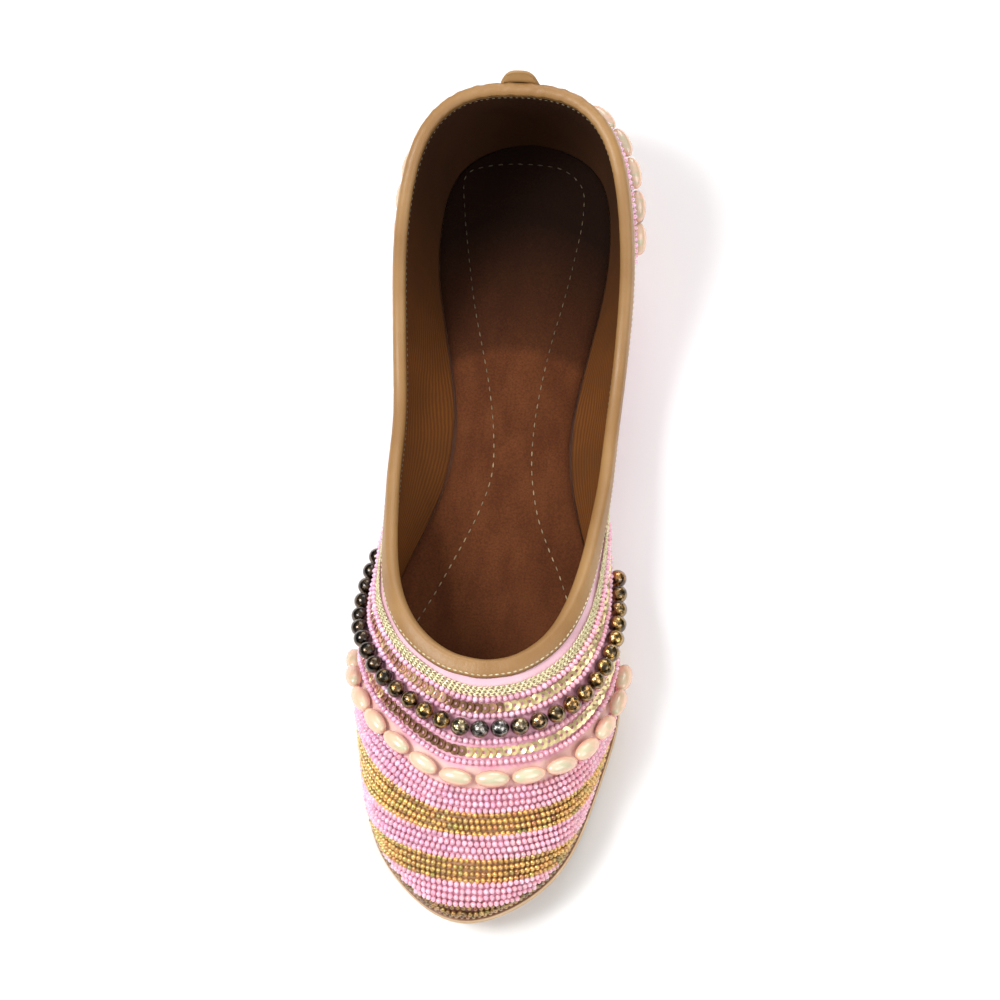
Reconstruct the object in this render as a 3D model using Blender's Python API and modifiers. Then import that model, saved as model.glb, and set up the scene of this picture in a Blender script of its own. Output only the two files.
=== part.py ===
"""A beaded mojari for the left foot: flat leather sole, hollow upper, bound collar and rows of beadwork.

Metres. Toe towards -Y, outer side of the foot towards +X, heel resting on z = 0 below the origin.
Places along the shoe are counted from the back of the sole towards the toe.
"""

import functools
import math

import bmesh
import bpy
import numpy as np

# Driving sizes
LENGTH = 0.252
BALL_WIDTH = 0.0776
WAIST_WIDTH = 0.0432
HEEL_WIDTH = 0.0608
COLLAR_WIDTH = 0.0696
HEEL_HEIGHT = 0.0600
SIDE_HEIGHT = 0.0256
THROAT_HEIGHT = 0.0438
TOE_SPRING = 0.012
ARCH_RISE = 0.0025
HEEL_REST = 0.030

# Thicknesses and margins
SOLE_THICKNESS = 0.0045
SOLE_EDGE = 0.002
HEEL_EDGE = 0.003
EDGE_GROOVE = 0.0005
INSOLE_THICKNESS = 0.0022
WALL = 0.002
CLEARANCE = 0.0003
FOOT_GAP = 0.0006
INSOLE_GAP = 0.0012
BINDING_THICKNESS = 0.0009
BINDING_DROP = 0.0050
BINDING_TURN = 0.0040
TAB_WIDTH = 0.012
TAB_THICKNESS = 0.0013
TAB_DROP = 0.0062
TAB_RISE = 0.0026

# Beadwork
SKIN_GAP = 0.0005
CORD_RADIUS = 0.0010
SEED_HEIGHT = 0.0016
SEED_DIP = 0.0010
DARK_BEAD = 0.0052
DARK_SPACING = 0.0057
PEARL_LENGTH = 0.0103
PEARL_WIDTH = 0.0048
THREAD_RADIUS = 0.0006
TOE_STRIP = 0.0030

# How high a large bead's middle sits and how wide its shoulders are, as shares of its half width
BEAD_SEAT, BEAD_SHOULDER = 0.82, 0.94

# Where the sole leaves the floor and comes back to it, as shares of LENGTH
ARCH_START, ARCH_END, SPRING_START = 0.24, 0.62, 0.72

# How much thinner the sole is in the middle of the arch, and how far that spreads along LENGTH
THINNING_SHARE, THINNING_SPREAD = 0.24, 0.13

# Rows down the front, as shares of the way over it from the collar's edge to the sole at the toe
CORD_ROW = 0.108
THROAT_ROWS = (0.128, 0.154, 0.180, 0.206)
DARK_ROW = 0.244
MIDDLE_ROWS = (0.283, 0.312, 0.351, 0.392)
PEARL_ROW = 0.431
TOE_ROWS = (0.473, 0.558, 0.644, 0.732, 0.818, 0.915, 0.952)

# On the inner side of the ball the rows draw nearer to the collar: by this share, between these stations from
# the toe, and only for rows above the toe's own, as shares of the way over the front
ROW_SLANT = 0.15
SLANT_RISE, SLANT_FALL, SLANT_FADE = (0.5, 2.6), (3.6, 4.9), (0.45, 0.70)

# Rows round the heel, as shares of the way from the cord down to the sole at the back
HEEL_ROWS = (0.041, 0.105, 0.168, 0.220)
HEEL_PEARL_ROW = 0.277

# Stations from the back of the heel to the toe, the same for both sides of the shoe.
# The sole's outline: place as a share of LENGTH, the width it follows, inner and outer share of it.
SOLE_OUTLINE = (
    # along, width, inner, outer
    (0.000, HEEL_WIDTH, 0.000, 0.000),
    (0.018, HEEL_WIDTH, 0.280, 0.280),
    (0.062, HEEL_WIDTH, 0.447, 0.447),
    (0.127, HEEL_WIDTH, 0.500, 0.500),
    (0.198, HEEL_WIDTH, 0.488, 0.493),
    (0.270, HEEL_WIDTH, 0.428, 0.447),
    (0.349, WAIST_WIDTH, 0.500, 0.550),
    (0.429, WAIST_WIDTH, 0.472, 0.528),
    (0.508, WAIST_WIDTH, 0.590, 0.625),
    (0.583, BALL_WIDTH, 0.426, 0.426),
    (0.659, BALL_WIDTH, 0.485, 0.482),
    (0.738, BALL_WIDTH, 0.503, 0.497),
    (0.819, BALL_WIDTH, 0.462, 0.446),
    (0.903, BALL_WIDTH, 0.388, 0.366),
    (0.966, BALL_WIDTH, 0.240, 0.222),
    (1.000, BALL_WIDTH, 0.020, -0.020),
)

# The collar's edge: place, inner and outer share of COLLAR_WIDTH, share of the height it follows.
COLLAR_EDGE = (
    # along, inner, outer, height share, height
    (0.0389, 0.000, 0.000, 1.000, HEEL_HEIGHT),
    (0.0468, 0.208, 0.208, 0.997, HEEL_HEIGHT),
    (0.0774, 0.359, 0.363, 0.982, HEEL_HEIGHT),
    (0.1310, 0.448, 0.454, 0.930, HEEL_HEIGHT),
    (0.1984, 0.491, 0.497, 0.777, HEEL_HEIGHT),
    (0.2698, 0.497, 0.503, 0.583, HEEL_HEIGHT),
    (0.3413, 0.483, 0.489, 1.063, SIDE_HEIGHT),
    (0.4127, 0.467, 0.474, 1.000, SIDE_HEIGHT),
    (0.4802, 0.463, 0.463, 1.094, SIDE_HEIGHT),
    (0.5437, 0.448, 0.440, 0.731, THROAT_HEIGHT),
    (0.6045, 0.420, 0.405, 0.831, THROAT_HEIGHT),
    (0.6535, 0.362, 0.353, 0.918, THROAT_HEIGHT),
    (0.6925, 0.264, 0.273, 0.968, THROAT_HEIGHT),
    (0.7170, 0.142, 0.165, 0.993, THROAT_HEIGHT),
    (0.7242, 0.060, 0.089, 0.999, THROAT_HEIGHT),
    (0.7270, -0.014, 0.014, 1.000, THROAT_HEIGHT),
)

# How the wall leaves the sole and reaches the collar, as shares of the straight line between them.
WALL_BULGE = (
    # out at the sole, rise, out at the collar, drop
    (0.072, 0.324, 0.081, 0.360),
    (0.077, 0.324, 0.072, 0.360),
    (0.088, 0.330, 0.060, 0.366),
    (0.100, 0.330, 0.047, 0.370),
    (0.130, 0.305, 0.042, 0.375),
    (0.186, 0.280, 0.037, 0.373),
    (0.250, 0.235, 0.030, 0.373),
    (0.255, 0.226, 0.033, 0.370),
    (0.160, 0.270, 0.046, 0.365),
    (0.105, 0.317, 0.073, 0.317),
    (0.072, 0.351, 0.114, 0.230),
    (0.058, 0.345, 0.184, 0.161),
    (0.050, 0.300, 0.260, 0.120),
    (0.040, 0.245, 0.328, 0.103),
    (0.028, 0.205, 0.394, 0.103),
    (0.021, 0.165, 0.411, 0.103),
)

TOE = len(SOLE_OUTLINE) - 1
AROUND = 2 * TOE

# Stations where the beaded panels end: under the collar cord, inner and outer side, then at the sole
PANEL_TOPS = (8.05, 8.35)
PANEL_FOOT = 10.0
PANEL_BEND = 1.35
HEEL_FRONT = 4.55
HEEL_BEND = 5.0

# Room between a panel's ends and its cord, in stations, and between crossing cords, in cord radii
BEAD_MARGIN, STRAND_MARGIN, CORD_MARGIN, HEEL_MARGIN = 0.06, 0.16, 0.14, 0.24
CORD_SPACING = 2.6

# Large beads sewn below the heel's rows: station, share of the way from the cord down to the sole
HEEL_STUDS = (
    (0.6, 0.47),
    (1.9, 0.55),
    (3.1, 0.60),
    (0.7, 0.74),
)

# How far apart two points are taken to find a direction: in stations round the shoe, in metres down its wall
NEARBY = 0.02
PROBE = 0.0006
MERGE = 1e-6

# Grid counts of the meshes
RAY_STEPS = 40
UPPER_COLUMNS = 66
UPPER_ROWS = 9
SOLE_STEPS = 34
INSOLE_STEPS = 32
CORD_STEPS = 54
STRAND_SIDES = 5

LEATHER_PINK = ("pink_leather", (0.86, 0.58, 0.64), 0.55, 0.0)
LEATHER_TAN = ("tan_leather", (0.52, 0.29, 0.13), 0.5, 0.0)
LEATHER_SOLE = ("sole_leather", (0.62, 0.42, 0.25), 0.7, 0.0)
SUEDE = ("suede", (0.16, 0.06, 0.03), 0.95, 0.0)
BEADS_PINK = ("pink_beads", (0.80, 0.42, 0.62), 0.3, 0.0)
BEADS_DARK = ("dark_beads", (0.05, 0.035, 0.02), 0.2, 0.8)
PEARLS = ("pearls", (0.85, 0.72, 0.50), 0.25, 0.0)
GOLD_THREAD = ("gold_thread", (0.75, 0.66, 0.32), 0.4, 0.6)


def clear_scene():
    for obj in list(bpy.data.objects):
        bpy.data.objects.remove(obj, do_unlink=True)


def material_of(finish):
    name, colour, roughness, metallic = finish
    material = bpy.data.materials.get(name)
    if material is None:
        material = bpy.data.materials.new(name)
        material.use_nodes = True
        shader = material.node_tree.nodes["Principled BSDF"]
        shader.inputs["Base Color"].default_value = (*colour, 1)
        shader.inputs["Roughness"].default_value = roughness
        shader.inputs["Metallic"].default_value = metallic
    return material


def add_object(name, bm, finish):
    """Turns a bmesh into a smooth-shaded object in the shoe's collection."""
    mesh = bpy.data.meshes.new(name)
    bm.to_mesh(mesh)
    bm.free()
    mesh.shade_smooth()
    mesh.set_sharp_from_angle(angle=math.radians(40))
    mesh.materials.append(material_of(finish))
    obj = bpy.data.objects.new(name, mesh)
    shoe.objects.link(obj)
    return obj


def ring_spline(knots):
    """A smooth closed curve through one point a station, as a function of the station number."""
    knots = np.asarray(knots, float)
    unit = np.eye(len(knots))
    system = 4 * unit + np.roll(unit, 1, axis=0) + np.roll(unit, -1, axis=0)
    turns = np.roll(knots, -1, axis=0) - 2 * knots + np.roll(knots, 1, axis=0)
    bends = np.linalg.solve(system, 6 * turns)

    def at(station):
        first = math.floor(station)
        t = station - first
        a, b = first % len(knots), (first + 1) % len(knots)
        s = 1 - t
        return knots[a] * s + knots[b] * t + ((s**3 - s) * bends[a] + (t**3 - t) * bends[b]) / 6

    return at


def both_sides(rows, point):
    """Round the shoe from the heel: the inner side's rows to the toe, then the outer side's back."""
    inner = [point(row, -1) for row in rows]
    outer = [point(row, 1) for row in rows]
    inner[0] = outer[0] = (inner[0] + outer[0]) / 2
    inner[-1] = (inner[-1] + outer[-1]) / 2
    return inner + outer[-2:0:-1]


def from_heel(along):
    return HEEL_REST - along * LENGTH


def sole_point(row, side):
    along, width, inner, outer = row
    return np.array([side * width * (outer if side > 0 else inner), from_heel(along)])


def collar_point(row, side):
    along, inner, outer, share, height = row
    half = COLLAR_WIDTH * (outer if side > 0 else inner)
    return np.array([side * half, from_heel(along), share * height])


sole_curve = ring_spline(both_sides(SOLE_OUTLINE, sole_point))
collar_curve = ring_spline(both_sides(COLLAR_EDGE, collar_point))
bulge_curve = ring_spline(both_sides(WALL_BULGE, lambda row, side: np.array(row)))


def outward(curve, station):
    """The level direction away from the shoe's middle, square to a closed curve."""
    ahead = curve(station + NEARBY)[:2] - curve(station - NEARBY)[:2]
    return np.array([ahead[1], -ahead[0]]) / np.linalg.norm(ahead)


def along_of(y):
    return (HEEL_REST - y) / LENGTH


def sole_bottom(along):
    if ARCH_START < along < ARCH_END:
        return ARCH_RISE * math.sin(math.pi * (along - ARCH_START) / (ARCH_END - ARCH_START)) ** 2
    if along > SPRING_START:
        return TOE_SPRING * ((along - SPRING_START) / (1 - SPRING_START)) ** 2
    return 0.0


def sole_top(along):
    middle = (ARCH_START + ARCH_END) / 2
    thinning = THINNING_SHARE * math.exp(-(((along - middle) / THINNING_SPREAD) ** 2))
    return sole_bottom(along) + SOLE_THICKNESS * (1 - thinning)


def sole_edge(station, inset):
    """A point of the sole's outline moved inwards."""
    return sole_curve(station)[:2] - outward(sole_curve, station) * inset


def feather(station, inset=0.0):
    """Where the outside of the upper meets the sole, in plan."""
    turn = math.cos(math.pi * station / AROUND * 2)
    margin = SOLE_EDGE + (HEEL_EDGE - SOLE_EDGE) * max(0.0, turn) ** 4
    return sole_edge(station, margin + inset)


def ray_handles(station):
    """The four control points of the wall's section from the sole up to the collar."""
    x, y = feather(station)
    foot = np.array([x, y, sole_top(along_of(y)) + FOOT_GAP])
    rim = collar_curve(station)
    chord = np.linalg.norm(rim - foot)
    low_out, low_rise, high_out, high_drop = bulge_curve(station) * chord
    low = foot + np.array([*(outward(sole_curve, station) * low_out), low_rise])
    high = rim + np.array([*(outward(collar_curve, station) * high_out), -high_drop])
    return foot, low, high, rim


def lean(station):
    """How much longer a way straight down is than the way square to the sloping collar."""
    ahead = collar_curve(station + NEARBY) - collar_curve(station - NEARBY)
    return np.linalg.norm(ahead) / np.linalg.norm(ahead[:2])


def ray_points(station):
    """The wall's section from the collar down to the sole, with the distances from the collar's edge."""
    foot, low, high, rim = ray_handles(station)
    t = np.linspace(1, 0, RAY_STEPS + 1)[:, None]
    s = 1 - t
    points = s**3 * foot + 3 * s * s * t * low + 3 * s * t * t * high + t**3 * rim
    steps = np.linalg.norm(np.diff(points, axis=0), axis=1)
    return points, np.concatenate([[0.0], np.cumsum(steps)]) / lean(station)


@functools.cache
def ray_length(station):
    return ray_points(station)[1][-1]


def skin(station, depth):
    """A point of the upper's outside, this far below the collar's edge."""
    points, reach = ray_points(station)
    return np.array([np.interp(depth, reach, points[:, axis]) for axis in range(3)])


def skin_frame(station, depth):
    """A point of the upper's outside, the way up its wall and the way out of it."""
    top = max(depth - PROBE, 0.0)
    up = skin(station, top) - skin(station, top + 2 * PROBE)
    ahead = skin(station + NEARBY, depth) - skin(station - NEARBY, depth)
    out = np.cross(ahead, up)
    return skin(station, depth), up / np.linalg.norm(up), out / np.linalg.norm(out)


def lifted(station, depth, height):
    point, _, out = skin_frame(station, depth)
    return point + out * height


def mapped_grid(columns, rows, place, closed=False):
    """A sheet of columns by rows whose points come from place(column share, row share)."""
    bm = bmesh.new()
    bmesh.ops.create_grid(bm, x_segments=columns, y_segments=rows, size=0.5)
    across = bm.verts.layers.float.new("across")
    up = bm.verts.layers.float.new("up")
    for vert in bm.verts:
        vert[across], vert[up] = vert.co.x + 0.5, vert.co.y + 0.5
        vert.co = place(vert[across], vert[up])
    if closed:
        bmesh.ops.remove_doubles(bm, verts=bm.verts, dist=MERGE)
    return bm


def raise_sheet(bm, place):
    """Closes a sheet into a solid: its faces are copied to place(column share, row share)."""
    across = bm.verts.layers.float["across"]
    up = bm.verts.layers.float["up"]
    made = bmesh.ops.extrude_face_region(bm, geom=bm.faces[:])
    for vert in [item for item in made["geom"] if isinstance(item, bmesh.types.BMVert)]:
        vert.co = place(vert[across], vert[up])
    bmesh.ops.recalc_face_normals(bm, faces=bm.faces)


def sole_ladder(share, across, inset):
    """A point between the outline's two sides at one station."""
    station = share * TOE
    if inset < SOLE_EDGE:
        inner, outer = sole_edge(station, inset), sole_edge(AROUND - station, inset)
    else:
        inner, outer = feather(station, inset - SOLE_EDGE), feather(AROUND - station, inset - SOLE_EDGE)
    return inner + (outer - inner) * across


def build_outsole():
    # Share of the sole's thickness, how far the edge stands in there
    levels = ((0.0, EDGE_GROOVE), (0.16, 0.0), (0.58, 0.0), (0.66, EDGE_GROOVE), (1.0, EDGE_GROOVE / 2))

    def place_at(level):
        share, inset = level

        def place(along_share, across):
            x, y = sole_ladder(along_share, across, inset)
            bottom = sole_bottom(along_of(y))
            return (x, y, bottom + (sole_top(along_of(y)) - bottom) * share)

        return place

    bm = mapped_grid(SOLE_STEPS, 4, place_at(levels[0]))
    across = bm.verts.layers.float["across"]
    up = bm.verts.layers.float["up"]
    upper_faces = bm.faces[:]
    for level in levels[1:]:
        made = bmesh.ops.extrude_face_region(bm, geom=upper_faces)
        if level is not levels[1]:
            bmesh.ops.delete(bm, geom=upper_faces, context="FACES_ONLY")
        upper_faces = [item for item in made["geom"] if isinstance(item, bmesh.types.BMFace)]
        place = place_at(level)
        for vert in {vert for face in upper_faces for vert in face.verts}:
            vert.co = place(vert[across], vert[up])
    bmesh.ops.remove_doubles(bm, verts=bm.verts, dist=MERGE)
    bmesh.ops.recalc_face_normals(bm, faces=bm.faces)
    return add_object("outsole", bm, LEATHER_SOLE)


def build_insole():
    inset = SOLE_EDGE + WALL + INSOLE_GAP

    def place_at(height):
        def place(along_share, across):
            x, y = sole_ladder(along_share, across, inset)
            return (x, y, sole_top(along_of(y)) + height)

        return place

    bm = mapped_grid(INSOLE_STEPS, 3, place_at(CLEARANCE))
    raise_sheet(bm, place_at(CLEARANCE + INSOLE_THICKNESS))
    bmesh.ops.remove_doubles(bm, verts=bm.verts, dist=MERGE)
    bmesh.ops.recalc_face_normals(bm, faces=bm.faces)
    return add_object("insole", bm, SUEDE)


def build_upper():
    """The whole shell, with one row in the middle and one at the end of what the binding covers."""
    bound_rows = 2
    crowding = 0.8

    def place(around, down):
        station = around * AROUND
        row = round(down * UPPER_ROWS)
        if row <= bound_rows:
            return skin(station, BINDING_DROP * row / bound_rows)
        share = ((row - bound_rows) / (UPPER_ROWS - bound_rows)) ** crowding
        return skin(station, BINDING_DROP + (ray_length(station) - BINDING_DROP) * share)

    bm = mapped_grid(UPPER_COLUMNS, UPPER_ROWS, place, closed=True)
    bmesh.ops.recalc_face_normals(bm, faces=bm.faces)
    obj = add_object("upper", bm, LEATHER_PINK)
    wall = obj.modifiers.new("wall", "SOLIDIFY")
    wall.thickness = WALL
    wall.offset = -1
    return obj


def build_binding():
    """A strip folded over the collar's edge, lying on both faces of the wall."""
    roll = WALL / 2 + CLEARANCE

    def place_at(extra):
        def place(around, share):
            station = around * AROUND
            index = round(share * 5)
            if index < 2:
                return lifted(station, BINDING_DROP * (2 - index) / 2, CLEARANCE + extra)
            if index == 5:
                return lifted(station, BINDING_TURN, -WALL - CLEARANCE - extra)
            rim, up, out = skin_frame(station, 0.0)
            turn = math.pi / 2 * (index - 2)
            middle = rim - out * WALL / 2
            return middle + (out * math.cos(turn) + up * math.sin(turn)) * (roll + extra)

        return place

    bm = mapped_grid(UPPER_COLUMNS, 5, place_at(0.0), closed=True)
    raise_sheet(bm, place_at(BINDING_THICKNESS))
    return add_object("collar_binding", bm, LEATHER_TAN)


def build_heel_tab():
    """A rounded tab at the back centre, over the outside of the binding."""
    half = TAB_WIDTH / 2
    reach = 0.1
    station_width = np.linalg.norm(collar_curve(reach)[:2] - collar_curve(-reach)[:2]) / (2 * reach)

    def place_at(extra):
        def place(across, up_share):
            side = 2 * across - 1
            station = side * half / station_width
            rise = -TAB_DROP + (TAB_DROP + TAB_RISE * (1 - side**4)) * up_share
            away = CLEARANCE * 2 + BINDING_THICKNESS + extra
            if rise <= 0:
                return lifted(station, -rise, away)
            rim, up, out = skin_frame(station, 0.0)
            return rim + up * rise + out * away

        return place

    bm = mapped_grid(4, 4, place_at(0.0))
    raise_sheet(bm, place_at(TAB_THICKNESS))
    return add_object("heel_tab", bm, LEATHER_TAN)


def strand(name, path, finish, closed=False):
    """A cord or string of beads: path holds (station, depth, height of its middle, radius)."""
    path = np.asarray(path)
    middles = np.array([lifted(station, depth, height) for station, depth, height, _ in path])
    if closed:
        ahead = np.roll(middles, -1, axis=0) - np.roll(middles, 1, axis=0)
    else:
        ahead = np.gradient(middles, axis=0)
    ahead /= np.linalg.norm(ahead, axis=1)[:, None]
    outs = np.array([skin_frame(station, depth)[2] for station, depth, _, _ in path])
    outs -= ahead * (outs * ahead).sum(axis=1)[:, None]
    outs /= np.linalg.norm(outs, axis=1)[:, None]
    sidesteps = np.cross(ahead, outs)
    segments = len(path) if closed else len(path) - 1

    def place(along_share, around):
        index = round(along_share * segments) % len(path)
        turn = 2 * math.pi * around
        spoke = outs[index] * math.cos(turn) + sidesteps[index] * math.sin(turn)
        return middles[index] + spoke * path[index][3]

    bm = mapped_grid(segments, STRAND_SIDES, place, closed=True)
    if not closed:
        ends = [edge for edge in bm.edges if edge.is_boundary]
        bmesh.ops.holes_fill(bm, edges=ends, sides=STRAND_SIDES)
    bmesh.ops.recalc_face_normals(bm, faces=bm.faces)
    return add_object(name, bm, finish)


def bead_string(name, start, end, depth, length, width, finish):
    """Beads touching one another along a row, fused on their thread."""
    steps = np.linspace(start, end, 3 * CORD_STEPS)
    points = np.array([skin(station, row_depth(station, depth)) for station in steps])
    reach = np.concatenate([[0.0], np.cumsum(np.linalg.norm(np.diff(points, axis=0), axis=1))])
    count = round(reach[-1] / length)
    pitch = reach[-1] / count
    height = SKIN_GAP + BEAD_SEAT * width / 2
    shoulder = BEAD_SHOULDER * width / 2
    path = []
    for bead in range(count):
        for share, radius in ((0.0, THREAD_RADIUS), (0.25, shoulder), (0.75, shoulder)):
            station = np.interp((bead + share) * pitch, reach, steps)
            path.append((station, row_depth(station, depth), height, radius))
    path.append((end, row_depth(end, depth), height, THREAD_RADIUS))
    return strand(name, path, finish)


def ease(value, low, high):
    share = min(max((value - low) / (high - low), 0.0), 1.0)
    return share * share * (3 - 2 * share)


def row_depth(station, depth):
    """How far down the wall a row lies at a station, when it is this far down at the toe."""
    away = TOE - station
    bend = ease(away, *SLANT_RISE) * (1 - ease(away, *SLANT_FALL))
    return depth * (1 - ROW_SLANT * bend * (1 - ease(depth / ray_length(TOE), *SLANT_FADE)))


def cord_depth():
    return CORD_ROW * ray_length(TOE)


def vamp_depths(row_shares):
    return [share * ray_length(TOE) for share in row_shares]


def heel_depth(share, station=0):
    """A place between the collar cord and the sole, as a distance from the collar's edge."""
    return cord_depth() + (ray_length(station) - cord_depth()) * share


@functools.cache
def bare_strip_table(side):
    """Stations from the ball to the toe, and the row that reaches the bare strip above the sole at each."""
    stations = np.linspace(PANEL_FOOT - 1, TOE, CORD_STEPS)
    rows = np.linspace(0, ray_length(TOE), 4 * CORD_STEPS)
    starts = []
    for station in stations:
        depths = [row_depth(TOE + side * (TOE - station), row) for row in rows]
        starts.append(np.interp(ray_length(station) - TOE_STRIP, depths, rows))
    return stations, np.maximum.accumulate(starts)


def panel_span(depth, margin):
    """The first and last station of a row of the front panel, a margin in from the panel's ends."""
    ends = []
    for top, side in zip(PANEL_TOPS, (-1, 1)):
        stations, starts = bare_strip_table(side)
        foot = np.interp(PANEL_FOOT, stations, starts)
        share = (depth - cord_depth()) / (foot - cord_depth())
        if share < 1:
            reach = TOE - (top + (PANEL_FOOT - top) * max(share, 0.0) ** PANEL_BEND)
        else:
            reach = TOE - np.interp(depth, starts, stations)
        ends.append(TOE + side * (reach - margin))
    return ends


def heel_span(depth, margin):
    """The first and last station of a row round the heel."""
    sweep = (depth - cord_depth()) / (heel_depth(1) - TOE_STRIP - cord_depth())
    reach = HEEL_FRONT * (1 - min(sweep, 1.0)) ** (1 / HEEL_BEND) - HEEL_MARGIN - margin
    return -reach, reach


def beadwork(name, depths, heights, columns, span_of, finish):
    """A sewn layer between two depths, its outside stepped at the given depths."""

    def place_at(height_of):
        def place(across, share):
            index = round(share * (len(depths) - 1))
            first, last = span_of(depths[index], BEAD_MARGIN)
            station = first + (last - first) * across
            return lifted(station, row_depth(station, depths[index]), height_of(index))

        return place

    bm = mapped_grid(columns, len(depths) - 1, place_at(lambda index: SKIN_GAP))
    raise_sheet(bm, place_at(lambda index: SKIN_GAP + heights[index]))
    return add_object(name, bm, finish)


def stepped(edges):
    """Depths and heights of rows side by side: low where two rows meet, high along each."""
    depths, heights = [edges[0]], [SEED_DIP]
    for first, second in zip(edges, edges[1:]):
        depths += [(first + second) / 2, second]
        heights += [SEED_HEIGHT, SEED_DIP]
    return depths, heights


def build_beadwork():
    for name, rows, columns in (
        ("throat_beadwork", THROAT_ROWS, 22),
        ("middle_beadwork", MIDDLE_ROWS, 22),
        ("toe_beadwork", TOE_ROWS, 20),
    ):
        beadwork(name, *stepped(vamp_depths(rows)), columns, panel_span, BEADS_PINK)
    dark, pearl = vamp_depths((DARK_ROW, PEARL_ROW))
    ends = panel_span(dark, STRAND_MARGIN)
    bead_string("dark_bead_strand", *ends, dark, DARK_SPACING, DARK_BEAD, BEADS_DARK)
    ends = panel_span(pearl, STRAND_MARGIN)
    bead_string("pearl_strand", *ends, pearl, PEARL_LENGTH, PEARL_WIDTH, PEARLS)


def build_cords():
    height = SKIN_GAP + CORD_RADIUS
    marks = np.arange(CORD_STEPS) * AROUND / CORD_STEPS
    ring = [(station, row_depth(station, cord_depth()), height, CORD_RADIUS) for station in marks]
    strand("collar_cord", ring, GOLD_THREAD, closed=True)
    top = cord_depth() + CORD_SPACING * CORD_RADIUS
    foot = ray_length(PANEL_FOOT) - TOE_STRIP
    for name, end in (("vamp_cord_inner", 0), ("vamp_cord_outer", 1)):
        depths = np.linspace(top, foot, CORD_STEPS // 5)
        path = [(panel_span(depth, -CORD_MARGIN)[end], depth, height, CORD_RADIUS) for depth in depths]
        strand(name, path, GOLD_THREAD)


def build_heel_cord():
    """From under the collar cord on one side, down along the sole's edge behind, and up on the other side."""
    height = SKIN_GAP + CORD_RADIUS
    top = cord_depth() + CORD_SPACING * CORD_RADIUS
    path = []
    for share in np.linspace(-1, 1, CORD_STEPS // 2 + 7):
        station = HEEL_FRONT * share
        sweep = 1 - abs(share) ** HEEL_BEND
        depth = top + (ray_length(station) - TOE_STRIP - top) * sweep
        path.append((station, depth, height, CORD_RADIUS))
    strand("heel_cord", path, GOLD_THREAD)


def build_heel_beads():
    rows = [heel_depth(share) for share in HEEL_ROWS]
    beadwork("heel_beadwork", *stepped(rows), 18, heel_span, BEADS_PINK)
    pearl = heel_depth(HEEL_PEARL_ROW)
    ends = heel_span(pearl, STRAND_MARGIN)
    bead_string("heel_pearl_strand", *ends, pearl, PEARL_LENGTH, PEARL_WIDTH, PEARLS)
    number = 0
    for side in (-1, 1):
        for station, share in HEEL_STUDS:
            number += 1
            bm = bmesh.new()
            bmesh.ops.create_uvsphere(bm, u_segments=7, v_segments=4, radius=DARK_BEAD / 2)
            depth = heel_depth(share, side * station)
            middle = lifted(side * station, depth, SKIN_GAP + DARK_BEAD / 2)
            bmesh.ops.translate(bm, verts=bm.verts, vec=middle)
            add_object(f"heel_stud_{number}", bm, BEADS_DARK)


clear_scene()
shoe = bpy.data.collections.new("mojari")
bpy.context.scene.collection.children.link(shoe)
build_outsole()
build_insole()
build_upper()
build_binding()
build_heel_tab()
build_cords()
build_heel_cord()
build_beadwork()
build_heel_beads()
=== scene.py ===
import math

import bmesh
import bpy
import numpy as np
from mathutils import Matrix, Vector


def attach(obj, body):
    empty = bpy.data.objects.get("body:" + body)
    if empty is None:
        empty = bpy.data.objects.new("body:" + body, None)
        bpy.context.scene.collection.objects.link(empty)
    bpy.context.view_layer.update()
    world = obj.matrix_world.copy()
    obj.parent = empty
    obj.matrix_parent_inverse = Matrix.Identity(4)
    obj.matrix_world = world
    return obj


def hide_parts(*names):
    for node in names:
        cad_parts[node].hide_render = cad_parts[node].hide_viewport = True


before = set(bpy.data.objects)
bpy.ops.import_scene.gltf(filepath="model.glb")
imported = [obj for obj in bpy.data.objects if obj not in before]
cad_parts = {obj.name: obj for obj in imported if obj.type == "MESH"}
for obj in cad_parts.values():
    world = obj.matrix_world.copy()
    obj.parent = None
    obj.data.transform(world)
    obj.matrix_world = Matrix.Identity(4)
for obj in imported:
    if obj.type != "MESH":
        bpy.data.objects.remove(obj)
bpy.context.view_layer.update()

scene = bpy.context.scene
rng = np.random.default_rng(7)

# The shoe's own sizes in metres; the toe points to -Y and the outer side of the foot to +X.
shoe = {
    "length": 0.252,
    "ballWidth": 0.0776,
    "waistWidth": 0.0432,
    "heelWidth": 0.0608,
    "collarWidth": 0.0696,
    "heelHeight": 0.0600,
    "sideHeight": 0.0256,
    "throatHeight": 0.0438,
    "toeSpring": 0.012,
    "archRise": 0.0025,
    "heelRest": 0.030,
    "soleThickness": 0.0045,
    "soleEdge": 0.002,
    "heelEdge": 0.003,
    "wall": 0.002,
    "footGap": 0.0006,
    "toeStrip": 0.0030,
    "archStart": 0.24,
    "archEnd": 0.62,
    "springStart": 0.72,
    "thinning": 0.24,
    "thinningSpread": 0.13,
}

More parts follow.
